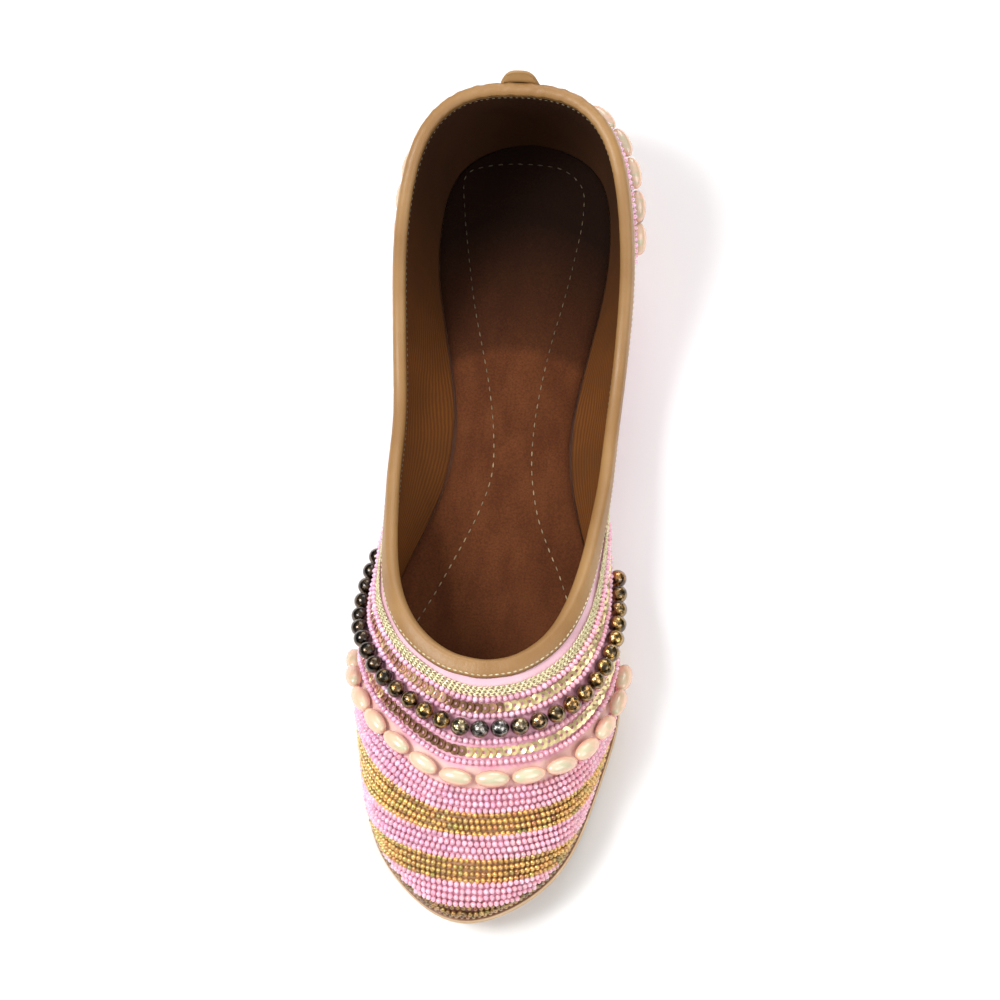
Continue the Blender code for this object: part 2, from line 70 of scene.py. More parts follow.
# Stations run from the heel to the toe. Sole: place along, named width, inner and outer share of it.
soleOutline = (
    (0.000, "heelWidth", 0.000, 0.000),
    (0.018, "heelWidth", 0.280, 0.280),
    (0.062, "heelWidth", 0.447, 0.447),
    (0.127, "heelWidth", 0.500, 0.500),
    (0.198, "heelWidth", 0.488, 0.493),
    (0.270, "heelWidth", 0.428, 0.447),
    (0.349, "waistWidth", 0.500, 0.550),
    (0.429, "waistWidth", 0.472, 0.528),
    (0.508, "waistWidth", 0.590, 0.625),
    (0.583, "ballWidth", 0.426, 0.426),
    (0.659, "ballWidth", 0.485, 0.482),
    (0.738, "ballWidth", 0.503, 0.497),
    (0.819, "ballWidth", 0.462, 0.446),
    (0.903, "ballWidth", 0.388, 0.366),
    (0.966, "ballWidth", 0.240, 0.222),
    (1.000, "ballWidth", 0.020, -0.020),
)

# Collar: place along, inner and outer share of its width, share of a named height.
collarEdge = (
    (0.0389, 0.000, 0.000, 1.000, "heelHeight"),
    (0.0468, 0.208, 0.208, 0.997, "heelHeight"),
    (0.0774, 0.359, 0.363, 0.982, "heelHeight"),
    (0.1310, 0.448, 0.454, 0.930, "heelHeight"),
    (0.1984, 0.491, 0.497, 0.777, "heelHeight"),
    (0.2698, 0.497, 0.503, 0.583, "heelHeight"),
    (0.3413, 0.483, 0.489, 1.063, "sideHeight"),
    (0.4127, 0.467, 0.474, 1.000, "sideHeight"),
    (0.4802, 0.463, 0.463, 1.094, "sideHeight"),
    (0.5437, 0.448, 0.440, 0.731, "throatHeight"),
    (0.6045, 0.420, 0.405, 0.831, "throatHeight"),
    (0.6535, 0.362, 0.353, 0.918, "throatHeight"),
    (0.6925, 0.264, 0.273, 0.968, "throatHeight"),
    (0.7170, 0.142, 0.165, 0.993, "throatHeight"),
    (0.7242, 0.060, 0.089, 0.999, "throatHeight"),
    (0.7270, -0.014, 0.014, 1.000, "throatHeight"),
)

# Wall: out and up at the sole, out and down at the collar, as shares of the straight way between.
wallBulge = (
    (0.072, 0.324, 0.081, 0.360),
    (0.077, 0.324, 0.072, 0.360),
    (0.088, 0.330, 0.060, 0.366),
    (0.100, 0.330, 0.047, 0.370),
    (0.130, 0.305, 0.042, 0.375),
    (0.186, 0.280, 0.037, 0.373),
    (0.250, 0.235, 0.030, 0.373),
    (0.255, 0.226, 0.033, 0.370),
    (0.160, 0.270, 0.046, 0.365),
    (0.105, 0.317, 0.073, 0.317),
    (0.072, 0.351, 0.114, 0.230),
    (0.058, 0.345, 0.184, 0.161),
    (0.050, 0.300, 0.260, 0.120),
    (0.040, 0.245, 0.328, 0.103),
    (0.028, 0.205, 0.394, 0.103),
    (0.021, 0.165, 0.411, 0.103),
)

toe = len(soleOutline) - 1
around = 2 * toe


def ringSpline(knots):
    knots = np.asarray(knots, float)
    eye = np.eye(len(knots))
    system = 4 * eye + np.roll(eye, 1, axis=0) + np.roll(eye, -1, axis=0)
    turns = np.roll(knots, -1, axis=0) - 2 * knots + np.roll(knots, 1, axis=0)
    bends = np.linalg.solve(system, 6 * turns)

    def at(stations):
        stations = np.atleast_1d(stations)
        first = np.floor(stations).astype(int)
        t = (stations - first)[:, None]
        a, b = first % len(knots), (first + 1) % len(knots)
        s = 1 - t
        return knots[a] * s + knots[b] * t + ((s**3 - s) * bends[a] + (t**3 - t) * bends[b]) / 6

    return at


def bothSides(rows, point):
    inner = [point(row, -1) for row in rows]
    outer = [point(row, 1) for row in rows]
    inner[0] = outer[0] = (inner[0] + outer[0]) / 2
    inner[-1] = (inner[-1] + outer[-1]) / 2
    return inner + outer[-2:0:-1]


def solePoint(row, side):
    along, width, inner, outer = row
    half = shoe[width] * (outer if side > 0 else inner)
    return np.array([side * half, shoe["heelRest"] - along * shoe["length"]])


def collarPoint(row, side):
    along, inner, outer, share, height = row
    half = shoe["collarWidth"] * (outer if side > 0 else inner)
    return np.array([side * half, shoe["heelRest"] - along * shoe["length"], share * shoe[height]])


soleCurve = ringSpline(bothSides(soleOutline, solePoint))
collarCurve = ringSpline(bothSides(collarEdge, collarPoint))
bulgeCurve = ringSpline(bothSides(wallBulge, lambda row, side: np.array(row)))


def unit(vectors):
    return vectors / np.maximum(np.linalg.norm(vectors, axis=-1, keepdims=True), 1e-12)


def outward(curve, stations):
    ahead = (curve(stations + 0.02) - curve(stations - 0.02))[:, :2]
    return unit(np.stack([ahead[:, 1], -ahead[:, 0]], axis=1))


def soleBottom(y):
    along = (shoe["heelRest"] - y) / shoe["length"]
    arch = (along - shoe["archStart"]) / (shoe["archEnd"] - shoe["archStart"])
    rise = np.where((arch > 0) & (arch < 1), shoe["archRise"] * np.sin(np.pi * arch) ** 2, 0.0)
    spring = np.clip((along - shoe["springStart"]) / (1 - shoe["springStart"]), 0, None)
    return rise + shoe["toeSpring"] * spring**2


def soleTop(y):
    along = (shoe["heelRest"] - y) / shoe["length"]
    middle = (shoe["archStart"] + shoe["archEnd"]) / 2
    thin = shoe["thinning"] * np.exp(-(((along - middle) / shoe["thinningSpread"]) ** 2))
    return soleBottom(y) + shoe["soleThickness"] * (1 - thin)


def soleRim(stations, inset):
    return soleCurve(stations)[:, :2] - outward(soleCurve, stations) * inset


def feather(stations, inset=0.0):
    turn = np.clip(np.cos(2 * np.pi * stations / around), 0, None)
    margin = shoe["soleEdge"] + (shoe["heelEdge"] - shoe["soleEdge"]) * turn**4
    return soleCurve(stations)[:, :2] - outward(soleCurve, stations) * (margin + inset)[:, None]


# The wall is worked out once on a fine net of stations and distances from the collar's edge.
net = {"perStation": 40, "step": 0.0004, "deepest": 0.082, "curveSteps": 120}


def wallNet():
    stations = np.arange(around * net["perStation"]) / net["perStation"]
    xy = feather(stations)
    foot = np.column_stack([xy, soleTop(xy[:, 1]) + shoe["footGap"]])
    rim = collarCurve(stations)
    bulge = bulgeCurve(stations) * np.linalg.norm(rim - foot, axis=1)[:, None]
    low = foot + np.column_stack([outward(soleCurve, stations) * bulge[:, :1], bulge[:, 1]])
    high = rim + np.column_stack([outward(collarCurve, stations) * bulge[:, 2:3], -bulge[:, 3]])
    t = np.linspace(1, 0, net["curveSteps"] + 1)[None, :, None]
    s = 1 - t
    points = s**3 * foot[:, None] + 3 * s * s * t * low[:, None]
    points = points + 3 * s * t * t * high[:, None] + t**3 * rim[:, None]
    slope = collarCurve(stations + 0.02) - collarCurve(stations - 0.02)
    lean = np.linalg.norm(slope, axis=1) / np.linalg.norm(slope[:, :2], axis=1)
    steps = np.linalg.norm(np.diff(points, axis=1), axis=2)
    reach = np.concatenate([np.zeros((len(stations), 1)), np.cumsum(steps, axis=1)], axis=1) / lean[:, None]
    marks = np.arange(0, net["deepest"], net["step"])
    table = np.empty((len(stations), len(marks), 3))
    for row in range(len(stations)):
        for axis in range(3):
            table[row, :, axis] = np.interp(marks, reach[row], points[row, :, axis])
    return table, reach[:, -1]


wallTable, wallReach = wallNet()
print("wall net", wallTable.shape)


def wayDown(stations):
    marks = np.arange(len(wallReach) + 1) / net["perStation"]
    return np.interp(np.mod(stations, around), marks, np.append(wallReach, wallReach[0]))


def fromHeel(stations):
    # stations away from the back of the heel, the same way on both sides
    return np.minimum(np.mod(stations, around), around - np.mod(stations, around))


def skin(stations, depths):
    stations, depths = np.broadcast_arrays(np.asarray(stations, float), np.asarray(depths, float))
    across = np.mod(stations, around) * net["perStation"]
    down = np.clip(depths / net["step"], 0, wallTable.shape[1] - 1.001)
    i, j = np.floor(across).astype(int), np.floor(down).astype(int)
    u, v = (across - i)[..., None], (down - j)[..., None]
    a, b = i % len(wallTable), (i + 1) % len(wallTable)
    return (wallTable[a, j] * (1 - u) + wallTable[b, j] * u) * (1 - v) + (
        wallTable[a, j + 1] * (1 - u) + wallTable[b, j + 1] * u
    ) * v


def skinFrame(stations, depths):
    # point, forward along the row, up the wall, out of the wall
    stations, depths = np.broadcast_arrays(np.asarray(stations, float), np.asarray(depths, float))
    depths = np.minimum(depths, wayDown(stations) - 0.0001)
    top = np.maximum(depths - 0.0006, 0)
    low = np.minimum(top + 0.0012, wayDown(stations))
    up = skin(stations, top) - skin(stations, low)
    ahead = unit(skin(stations + 0.03, depths) - skin(stations - 0.03, depths))
    out = unit(np.cross(ahead, up))
    return skin(stations, depths), ahead, unit(np.cross(out, ahead)), out


# Rows down the front as shares of the way over it at the toe, round the heel between cord and sole.
vampLength = float(wayDown(toe))
rows = {
    "cord": 0.105,
    "throatPink": (0.135, 0.198),
    "throatSequins": 0.167,
    "dark": 0.246,
    "middlePink": (0.2955, 0.374),
    "middleSequins": 0.335,
    "pearls": 0.434,
    "toePink": ((0.482, 0.557), (0.657, 0.732), (0.838, 0.917)),
    "toeGold": ((0.572, 0.644), (0.747, 0.821)),
    "toeEdgeGold": (0.934, 0.964),
    "heelPink": (0.073, 0.194),
    "heelSequins": 0.137,
    "heelPearls": 0.277,
    "heelGold": 0.345,
    "cordLine": 0.108,
    "panelTops": (8.05, 8.35),
    "panelFoot": 10.0,
    "panelBend": 1.35,
    "heelFront": 4.55,
    "heelBend": 5.0,
    "slant": 0.15,
    "slantRise": (0.5, 2.6),
    "slantFall": (3.6, 4.9),
    "slantFade": (0.45, 0.70),
}
cordDepth = rows["cordLine"] * vampLength


def ease(values, low, high):
    share = np.clip((values - low) / (high - low), 0, 1)
    return share * share * (3 - 2 * share)


def rowDepth(stations, depth):
    # how far down the wall a row lies, when it is this far down at the toe
    away = toe - stations
    bend = ease(away, *rows["slantRise"]) * (1 - ease(away, *rows["slantFall"]))
    return depth * (1 - rows["slant"] * bend * (1 - ease(depth / vampLength, *rows["slantFade"])))


def rowAt(depth):
    return lambda stations: rowDepth(stations, depth)


def heelDepth(share, stations=0.0):
    return cordDepth + (wayDown(stations) - cordDepth) * share


stripStations = np.linspace(rows["panelFoot"] - 1, toe, 120)


def stripRows(side):
    # the row that reaches the bare strip above the sole at each station
    depths = np.linspace(0, vampLength, 300)
    starts = wayDown(stripStations) - shoe["toeStrip"]
    found = [
        np.interp(start, rowDepth(toe + side * (toe - station), depths), depths)
        for station, start in zip(stripStations, starts)
    ]
    return np.maximum.accumulate(found)


stripStarts = (stripRows(-1), stripRows(1))
panelFoots = [float(np.interp(rows["panelFoot"], stripStations, starts)) for starts in stripStarts]
panelFootDepth = panelFoots[1]


def panelSpan(depth, margin=0.05):
    ends = []
    for top, side, starts, foot in zip(rows["panelTops"], (-1, 1), stripStarts, panelFoots):
        share = (depth - cordDepth) / (foot - cordDepth)
        if share < 1:
            reach = toe - (top + (rows["panelFoot"] - top) * max(share, 0.0) ** rows["panelBend"])
        else:
            reach = toe - float(np.interp(depth, starts, stripStations))
        ends.append(toe + side * (reach - margin))
    return ends


def heelSpan(depth, margin=0.05):
    sweep = (depth - cordDepth) / (heelDepth(1) - shoe["toeStrip"] - cordDepth)
    reach = rows["heelFront"] * (1 - min(sweep, 1.0)) ** (1 / rows["heelBend"]) - 0.24 - margin
    return -reach, reach


def reachAlong(points):
    return np.concatenate([[0], np.cumsum(np.linalg.norm(np.diff(points, axis=0), axis=1))])


def placesAlong(depthOf, start, end, pitch, height):
    # stations, points and axes at equal steps along a row, at a height over the wall
    def lifted(stations):
        point, ahead, _, out = skinFrame(stations, depthOf(stations) if callable(depthOf) else depthOf)
        return point + out * height, ahead, out

    steps = np.linspace(start, end, 900)
    reach = reachAlong(lifted(steps)[0])
    count = max(2, round(reach[-1] / pitch))
    stations = np.interp((np.arange(count) + 0.5) * reach[-1] / count, reach, steps)
    point, ahead, out = lifted(stations)
    # along the real path, which may cross the rows
    ahead = unit(np.gradient(point, axis=0)) if count > 2 else ahead
    return stations, point, ahead, unit(np.cross(out, ahead)), out


# Finishes. A node's inputs are given by name or number, each as a value or as another node's output.
def addNode(tree, kind, inputs=(), **settings):
    node = tree.nodes.new("ShaderNode" + kind)
    for name, value in settings.items():
        setattr(node, name, value)
    for name, value in dict(inputs).items():
        if isinstance(value, bpy.types.NodeSocket):
            tree.links.new(value, node.inputs[name])
        else:
            node.inputs[name].default_value = value
    return node


def newMaterial(name, inputs):
    material = bpy.data.materials.new(name)
    material.use_nodes = True
    shader = material.node_tree.nodes["Principled BSDF"]
    for socket, value in inputs.items():
        shader.inputs[socket].default_value = value
    return material, material.node_tree, shader


def objectPlace(tree):
    return addNode(tree, "TexCoord").outputs["Object"]


def ownTint(tree):
    return addNode(tree, "Attribute", attribute_name="tint").outputs["Color"]


def facing(tree, blend):
    return addNode(tree, "LayerWeight", {"Blend": blend}).outputs["Facing"]


def noiseOn(tree, where, scale, detail=3.0, stretch=(1, 1, 1)):
    place = addNode(tree, "Mapping", {"Scale": stretch, "Vector": where}).outputs["Vector"]
    return addNode(tree, "TexNoise", {"Scale": scale, "Detail": detail, "Vector": place}).outputs["Fac"]


def mixColours(tree, factor, first, second, blend="MIX"):
    first, second = ((*colour, 1) if isinstance(colour, tuple) else colour for colour in (first, second))
    return addNode(tree, "Mix", {0: factor, 6: first, 7: second}, data_type="RGBA", blend_type=blend).outputs[2]


def rangeOf(tree, value, low, high, first=0.0, second=1.0):
    ends = {"From Min": low, "From Max": high, "To Min": first, "To Max": second}
    return addNode(tree, "MapRange", {"Value": value, **ends}).outputs["Result"]


def paint(tree, shader, base, tinted=True):
    # tinted: the base colour times the piece's own tint
    if tinted:
        base = mixColours(tree, 1.0, base, ownTint(tree), "MULTIPLY")
    tree.links.new(base, shader.inputs["Base Color"])


def bumpFrom(tree, shader, *heights):
    # each height: a socket, its strength and its distance in metres
    last = {}
    for height, strength, distance in heights:
        bump = addNode(tree, "Bump", {"Height": height, "Strength": strength, "Distance": distance, **last})
        last = {"Normal": bump.outputs["Normal"]}
    tree.links.new(last["Normal"], shader.inputs["Normal"])


def leather(name, colour, darker, roughness, grain=1400, blotch=60, coat=0.0, tinted=False, depth=0.00012):
    material, tree, shader = newMaterial(name, {"Coat Weight": coat, "Coat Roughness": 0.35})
    where = objectPlace(tree)
    cells = addNode(tree, "TexVoronoi", {"Scale": grain, "Vector": where}).outputs["Distance"]
    fine, wide = noiseOn(tree, where, grain * 1.7, 4), noiseOn(tree, where, blotch, 4)
    paint(tree, shader, mixColours(tree, rangeOf(tree, wide, 0.35, 0.7), darker, colour), tinted)
    rough = rangeOf(tree, fine, 0.3, 0.7, roughness - 0.08, roughness + 0.08)
    tree.links.new(rough, shader.inputs["Roughness"])
    creases = rangeOf(tree, cells, 0.0, 0.6)
    bumpFrom(tree, shader, (creases, 0.35, depth), (fine, 0.3, depth * 0.7), (wide, 0.25, 0.0008))
    return material


def glassBead(name, roughness, metallic, coat, glow=0.0):
    # colour comes from each bead's own tint; with glow light spreads a little inside the glass
    inputs = {"Roughness": roughness, "Metallic": metallic, "Coat Weight": coat, "Coat Roughness": 0.08}
    if glow:
        inputs |= {"Subsurface Weight": glow, "Subsurface Radius": (0.0012, 0.0007, 0.0009)}
    material, tree, shader = newMaterial(name, inputs)
    speck = rangeOf(tree, noiseOn(tree, objectPlace(tree), 2600, 2), 0.3, 0.7)
    paint(tree, shader, mixColours(tree, speck, (0.8, 0.8, 0.8), (1.15, 1.15, 1.15)))
    return material


def bronzeGlaze():
    # uneven gilding over a nearly black bead, with painted reflection darkening its rims
    inputs = {"Metallic": 0.95, "Roughness": 0.14, "Coat Weight": 0.8, "Coat Roughness": 0.05}
    material, tree, shader = newMaterial("bronzeGlaze", inputs)
    patches = noiseOn(tree, objectPlace(tree), 520, 4)
    gilt = mixColours(tree, rangeOf(tree, patches, 0.42, 0.60, 0.12, 1.5), (0, 0, 0), ownTint(tree))
    # painted reflection: the rims turned from view are painted dark
    rim = rangeOf(tree, facing(tree, 0.4), 0.25, 0.8)
    paint(tree, shader, mixColours(tree, rim, gilt, (0.05, 0.02, 0.008)), False)
    bumpFrom(tree, shader, (patches, 0.6, 0.0009))
    return material


def pearlSkin():
    inputs = {"Roughness": 0.2, "Coat Weight": 0.9, "Coat Roughness": 0.12}
    inputs |= {"Subsurface Weight": 0.15, "Subsurface Radius": (0.002, 0.0012, 0.0008)}
    material, tree, shader = newMaterial("pearlSkin", inputs)
    cloud = rangeOf(tree, noiseOn(tree, objectPlace(tree), 420, 3, (0.5, 1.6, 1.0)), 0.38, 0.62)
    inner = mixColours(tree, cloud, (0.62, 0.60, 0.40), (0.86, 0.62, 0.45))
    # painted sheen: the edges turned from view are painted peach
    edge = rangeOf(tree, facing(tree, 0.35), 0.04, 0.62)
    paint(tree, shader, mixColours(tree, edge, inner, (0.84, 0.42, 0.27)))
    return material


def suede():
    inputs = {"Roughness": 0.95, "Specular IOR Level": 0.15, "Sheen Weight": 0.06, "Sheen Roughness": 0.5}
    material, tree, shader = newMaterial("brownSuede", {**inputs, "Sheen Tint": (0.9, 0.5, 0.3, 1)})
    where = objectPlace(tree)
    nap, brushed = noiseOn(tree, where, 1500, 6), noiseOn(tree, where, 90, 5, (1.6, 0.7, 1))
    streaks = rangeOf(tree, brushed, 0.35, 0.68)
    warm = mixColours(tree, streaks, (0.082, 0.024, 0.008), (0.115, 0.036, 0.012))
    # painted shade: the heel seat is painted darker, as the shadow of the high heel walls, with a soft curved
    # front edge
    x, y = addNode(tree, "SeparateXYZ", {"Vector": where}).outputs[:2]
    bow = addNode(tree, "Math", {0: x, 1: x}, operation="MULTIPLY").outputs["Value"]
    edge = addNode(tree, "Math", {0: bow, 1: 14, 2: y}, operation="MULTIPLY_ADD").outputs["Value"]
    seat = mixColours(tree, rangeOf(tree, edge, -0.045, -0.041, 0.0, 0.5), warm, (0.022, 0.007, 0.003))
    seat = mixColours(tree, rangeOf(tree, edge, -0.040, 0.000), seat, (0.013, 0.0045, 0.002))
    speck = rangeOf(tree, noiseOn(tree, where, 1700, 4), 0.35, 0.65)
    fleck = mixColours(tree, speck, (0.82, 0.8, 0.8), (1.2, 1.18, 1.15))
    paint(tree, shader, mixColours(tree, 1.0, seat, fleck, "MULTIPLY"), False)
    bumpFrom(tree, shader, (nap, 0.5, 0.0003), (brushed, 0.2, 0.0006))
    return material


def liningCloth():
    material, tree, shader = newMaterial("brownLining", {"Roughness": 0.9, "Specular IOR Level": 0.2})
    where = objectPlace(tree)
    weave = {"Scale": 380, "Distortion": 1.2, "Detail": 1, "Vector": where}
    threads = addNode(tree, "TexWave", weave, bands_direction="Z").outputs["Fac"]
    wide = noiseOn(tree, where, 70, 3)
    base = mixColours(tree, threads, (0.105, 0.031, 0.005), (0.178, 0.058, 0.009))
    base = mixColours(tree, rangeOf(tree, wide, 0.3, 0.7, 0, 0.5), base, (0.085, 0.030, 0.007))
    # painted shade: darker towards the heel, as the shade deep inside the shoe
    y = addNode(tree, "SeparateXYZ", {"Vector": where}).outputs["Y"]
    heel = rangeOf(tree, y, -0.055, 0.005, 0.0, 0.8)
    paint(tree, shader, mixColours(tree, heel, base, (0.030, 0.011, 0.004)), False)
    bumpFrom(tree, shader, (threads, 0.4, 0.00015), (wide, 0.3, 0.0012))
    return material


def metalThread(name, colour, darker, metallic):
    material, tree, shader = newMaterial(name, {"Metallic": metallic, "Roughness": 0.38})
    strands = noiseOn(tree, objectPlace(tree), 2400, 3)
    paint(tree, shader, mixColours(tree, rangeOf(tree, strands, 0.35, 0.65), darker, colour))
    bumpFrom(tree, shader, (strands, 0.5, 0.0001))
    return material


finishes = {
    "pinkLeather": leather("pinkLeather", (0.83, 0.53, 0.60), (0.75, 0.44, 0.52), 0.52, tinted=True),
    "bindingLeather": leather(
        "bindingLeather", (0.365, 0.200, 0.070), (0.285, 0.145, 0.045), 0.46, 1900, 45, 0.06, True),
    "tabLeather": leather("tabLeather", (0.42, 0.245, 0.095), (0.33, 0.18, 0.062), 0.48, 1900),
    "soleLeather": leather("soleLeather", (0.70, 0.50, 0.30), (0.58, 0.38, 0.20), 0.62, 900, 120, depth=0.0002),
    "soleLine": leather("soleLine", (0.30, 0.13, 0.055), (0.20, 0.08, 0.035), 0.5, 900),
    "soleUnder": leather("soleUnder", (0.55, 0.36, 0.20), (0.42, 0.26, 0.14), 0.7, 700, 35, depth=0.0003),
    "suede": suede(),
    "lining": liningCloth(),
    "stitchThread": metalThread("stitchThread", (0.86, 0.78, 0.56), (0.60, 0.50, 0.30), 0.0),
    "zari": metalThread("zariThread", (0.95, 0.90, 0.62), (0.52, 0.44, 0.21), 0.55),
    "seedGlass": glassBead("seedGlass", 0.2, 0.0, 0.8, glow=0.3),
    "goldGlass": glassBead("goldGlass", 0.2, 0.5, 0.9),
    "bronzeGlass": bronzeGlaze(),
    "pearlSkin": pearlSkin(),
    "sequinFoil": glassBead("sequinFoil", 0.24, 0.6, 0.5),
}
print("finishes", len(finishes))


def facesOut(bm):
    bmesh.ops.recalc_face_normals(bm, faces=bm.faces)


def addPiece(name, bm, materials, replaces=(), slot=None, smooth=True, sharp=None):
    mesh = bpy.data.meshes.new(name)
    bm.to_mesh(mesh)
    bm.free()
    return addMesh(name, mesh, materials, replaces, slot, smooth, sharp)


def addMesh(name, mesh, materials, replaces=(), slot=None, smooth=True, sharp=None):
    if smooth:
        mesh.shade_smooth()
    if sharp:
        mesh.set_sharp_from_angle(angle=math.radians(sharp))
    for material in materials:
        mesh.materials.append(finishes[material])
    obj = bpy.data.objects.new(name, mesh)
    scene.collection.objects.link(obj)
    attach(obj, "root")
    if replaces:
        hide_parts(*replaces)
    return obj


def thicken(obj, thickness):
    wall = obj.modifiers.new("wall", "SOLIDIFY")
    wall.thickness = thickness
    wall.offset = -1
    return wall


def netGrid(columns, lines, place, closed=False, tintOf=None, marked=False):
    # a created grid whose points come from place(column shares, row shares), all at once;
    # marked: each point also keeps its two shares
    bm = bmesh.new()
    tintLayer = bm.verts.layers.float_color.new("tint") if tintOf else None
    marks = [bm.verts.layers.float.new(name) for name in ("across", "along")] if marked else ()
    bmesh.ops.create_grid(bm, x_segments=columns, y_segments=lines, size=0.5)
    flat = np.array([vert.co for vert in bm.verts])
    shares = flat[:, 0] + 0.5, flat[:, 1] + 0.5
    for vert, point in zip(bm.verts, place(*shares)):
        vert.co = point
    if tintOf:
        for vert, tint in zip(bm.verts, tintOf(*shares)):
            vert[tintLayer] = (*tint, 1)
    for layer, share in zip(marks, reversed(shares)):
        for vert, value in zip(bm.verts, share):
            vert[layer] = value
    if closed:
        bmesh.ops.remove_doubles(bm, verts=bm.verts, dist=1e-6)
    return bm


def strewn(name, template, centres, axes, sizes, tints, materials, replaces=(), slot=None, sharp=None):
    # joined copies of one small shape; axes: three unit vectors for each copy, sizes: its three half sizes
    bare = bpy.data.meshes.new(name)
    template.to_mesh(bare)
    template.free()
    corners = np.empty(len(bare.vertices) * 3)
    bare.vertices.foreach_get("co", corners)
    corners = corners.reshape(-1, 3)
    faces = [tuple(face.vertices) for face in bare.polygons]
    bpy.data.meshes.remove(bare)
    centres, axes, sizes = (np.asarray(values, float) for values in (centres, axes, sizes))
    scaled = corners[None] * sizes[:, None]
    points = centres[:, None] + np.einsum("nvk,nkd->nvd", scaled, axes)
    count = len(corners)
    joined = [tuple(index + copy * count for index in face) for copy in range(len(centres)) for face in faces]
    mesh = bpy.data.meshes.new(name)
    mesh.from_pydata(points.reshape(-1, 3).tolist(), [], joined)
    layer = mesh.color_attributes.new(name="tint", type="FLOAT_COLOR", domain="POINT")
    colours = np.repeat(np.column_stack([tints, np.ones(len(tints))]), len(corners), axis=0)
    layer.data.foreach_set("color", colours.ravel().astype(np.float32))
    return addMesh(name, mesh, materials, replaces, slot, True, sharp)


def stitchAxes(along, out):
    return np.stack([along, unit(np.cross(out, along)), out], axis=1)


def beadAxes(along, out):
    across = unit(np.cross(out, along))
    return np.stack([along, across, np.cross(along, across)], axis=1)


def beadShape(sides, rings):
    # a small barrel, its hole's axis along X
    bm = bmesh.new()
    bmesh.ops.create_uvsphere(bm, u_segments=sides, v_segments=rings, radius=1.0)
    bmesh.ops.rotate(bm, verts=bm.verts, matrix=Matrix.Rotation(math.pi / 2, 3, "Y"))
    for vert in bm.verts:
        vert.co.x = math.copysign(abs(vert.co.x) ** 1.25, vert.co.x)
    facesOut(bm)
    return bm


def threadShape(sides, length=3):
    # a stitch or strand lying along X, tapered at both ends
    bm = bmesh.new()
    bmesh.ops.create_cone(bm, segments=sides, cap_ends=True, radius1=1, radius2=1, depth=2)
    bmesh.ops.rotate(bm, verts=bm.verts, matrix=Matrix.Rotation(math.pi / 2, 3, "Y"))
    long = [edge for edge in bm.edges if abs(edge.verts[0].co.x - edge.verts[1].co.x) > 1]
    bmesh.ops.subdivide_edges(bm, edges=long, cuts=length)
    for vert in bm.verts:
        taper = math.sqrt(max(0.0, 1 - abs(vert.co.x) ** 2.6)) * 0.85 + 0.15
        vert.co.y *= taper
        vert.co.z *= taper
    facesOut(bm)
    return bm


def wander(count, base, spread, light=0.0):
    # a colour for each of many beads, scattered about a base colour
    base = np.asarray(base, float)
    shade = 1 + rng.normal(0, spread, (count, 1)) + rng.normal(0, spread * 0.35, (count, 3))
    colours = np.clip(base * shade, 0.005, 1)
    if light:
        pale = rng.random((count, 1)) < light
        colours = np.where(pale, np.clip(colours * 1.25 + 0.05, 0, 1), colours)
    return colours


# Upper: pink leather outside, cloth lining inside, one shell
upperValues = {
    "columns": 400,
    "lines": 72,
    "linePower": 1.05,
    "wrinkle": 0.00022,
    "pearlHalo": (1.08, 1.16, 0.90),
    "goldReflectionGround": (0.62, 0.55, 0.27),
    "beadGround": (1.06, 0.92, 1.0),
    "turnedStrip": (0.40, 0.27, 0.20),
    "haloShare": 0.036,
    "haloWidth": 0.0029,
    "haloReach": 3.9,
    "goldMargin": 0.014,
    "stripReach": 3.6,
}


def groundTint(stations, depths):
    # the leather's colour under the beadwork, as a factor on plain pink, with a painted reflection of the gold
    # beads under the gold bands
    values = upperValues
    tint = np.ones((len(stations), 3))
    # the row that passes through each place
    nominal = depths.copy()
    for _ in range(4):
        nominal = depths * nominal / np.maximum(rowDepth(np.mod(stations, around), nominal), 1e-6)
    share = nominal / vampLength
    reach = np.abs(np.mod(stations, around) - toe)
    inner = np.mod(stations, around) < toe
    top = np.where(inner, *rows["panelTops"])
    sweep = np.clip((nominal - cordDepth) / (panelFootDepth - cordDepth), 0, 1)
    inPanel = reach < toe - (top + (rows["panelFoot"] - top) * sweep ** rows["panelBend"])
    below = nominal > cordDepth + 0.001

    def wash(mask, colour, strength=1.0):
        tint[mask] = tint[mask] * (1 - strength) + np.array(colour) * strength

    wash(inPanel & below, values["beadGround"])
    wash(inPanel & (np.abs(share - rows["pearls"]) < values["haloShare"]), values["pearlHalo"])
    # painted reflection: the leather under and beside the gold bands is painted brown
    for first, last in (*rows["toeGold"], rows["toeEdgeGold"]):
        inBand = (share > first - values["goldMargin"]) & (share < last + values["goldMargin"])
        wash(inPanel & inBand, values["goldReflectionGround"])
    left = wayDown(stations) - depths
    # the turned strip narrows to nothing where the panel ends
    wide = (shoe["toeStrip"] + 0.0004) * (1 - ease(reach, values["stripReach"], toe - rows["panelFoot"]) ** 2)
    wash(left < wide, values["turnedStrip"])
    pearlHeel = np.abs(depths - heelDepth(rows["heelPearls"])) < values["haloWidth"]
    wash(pearlHeel & (fromHeel(stations) < values["haloReach"]), values["pearlHalo"], 0.9)
    return tint


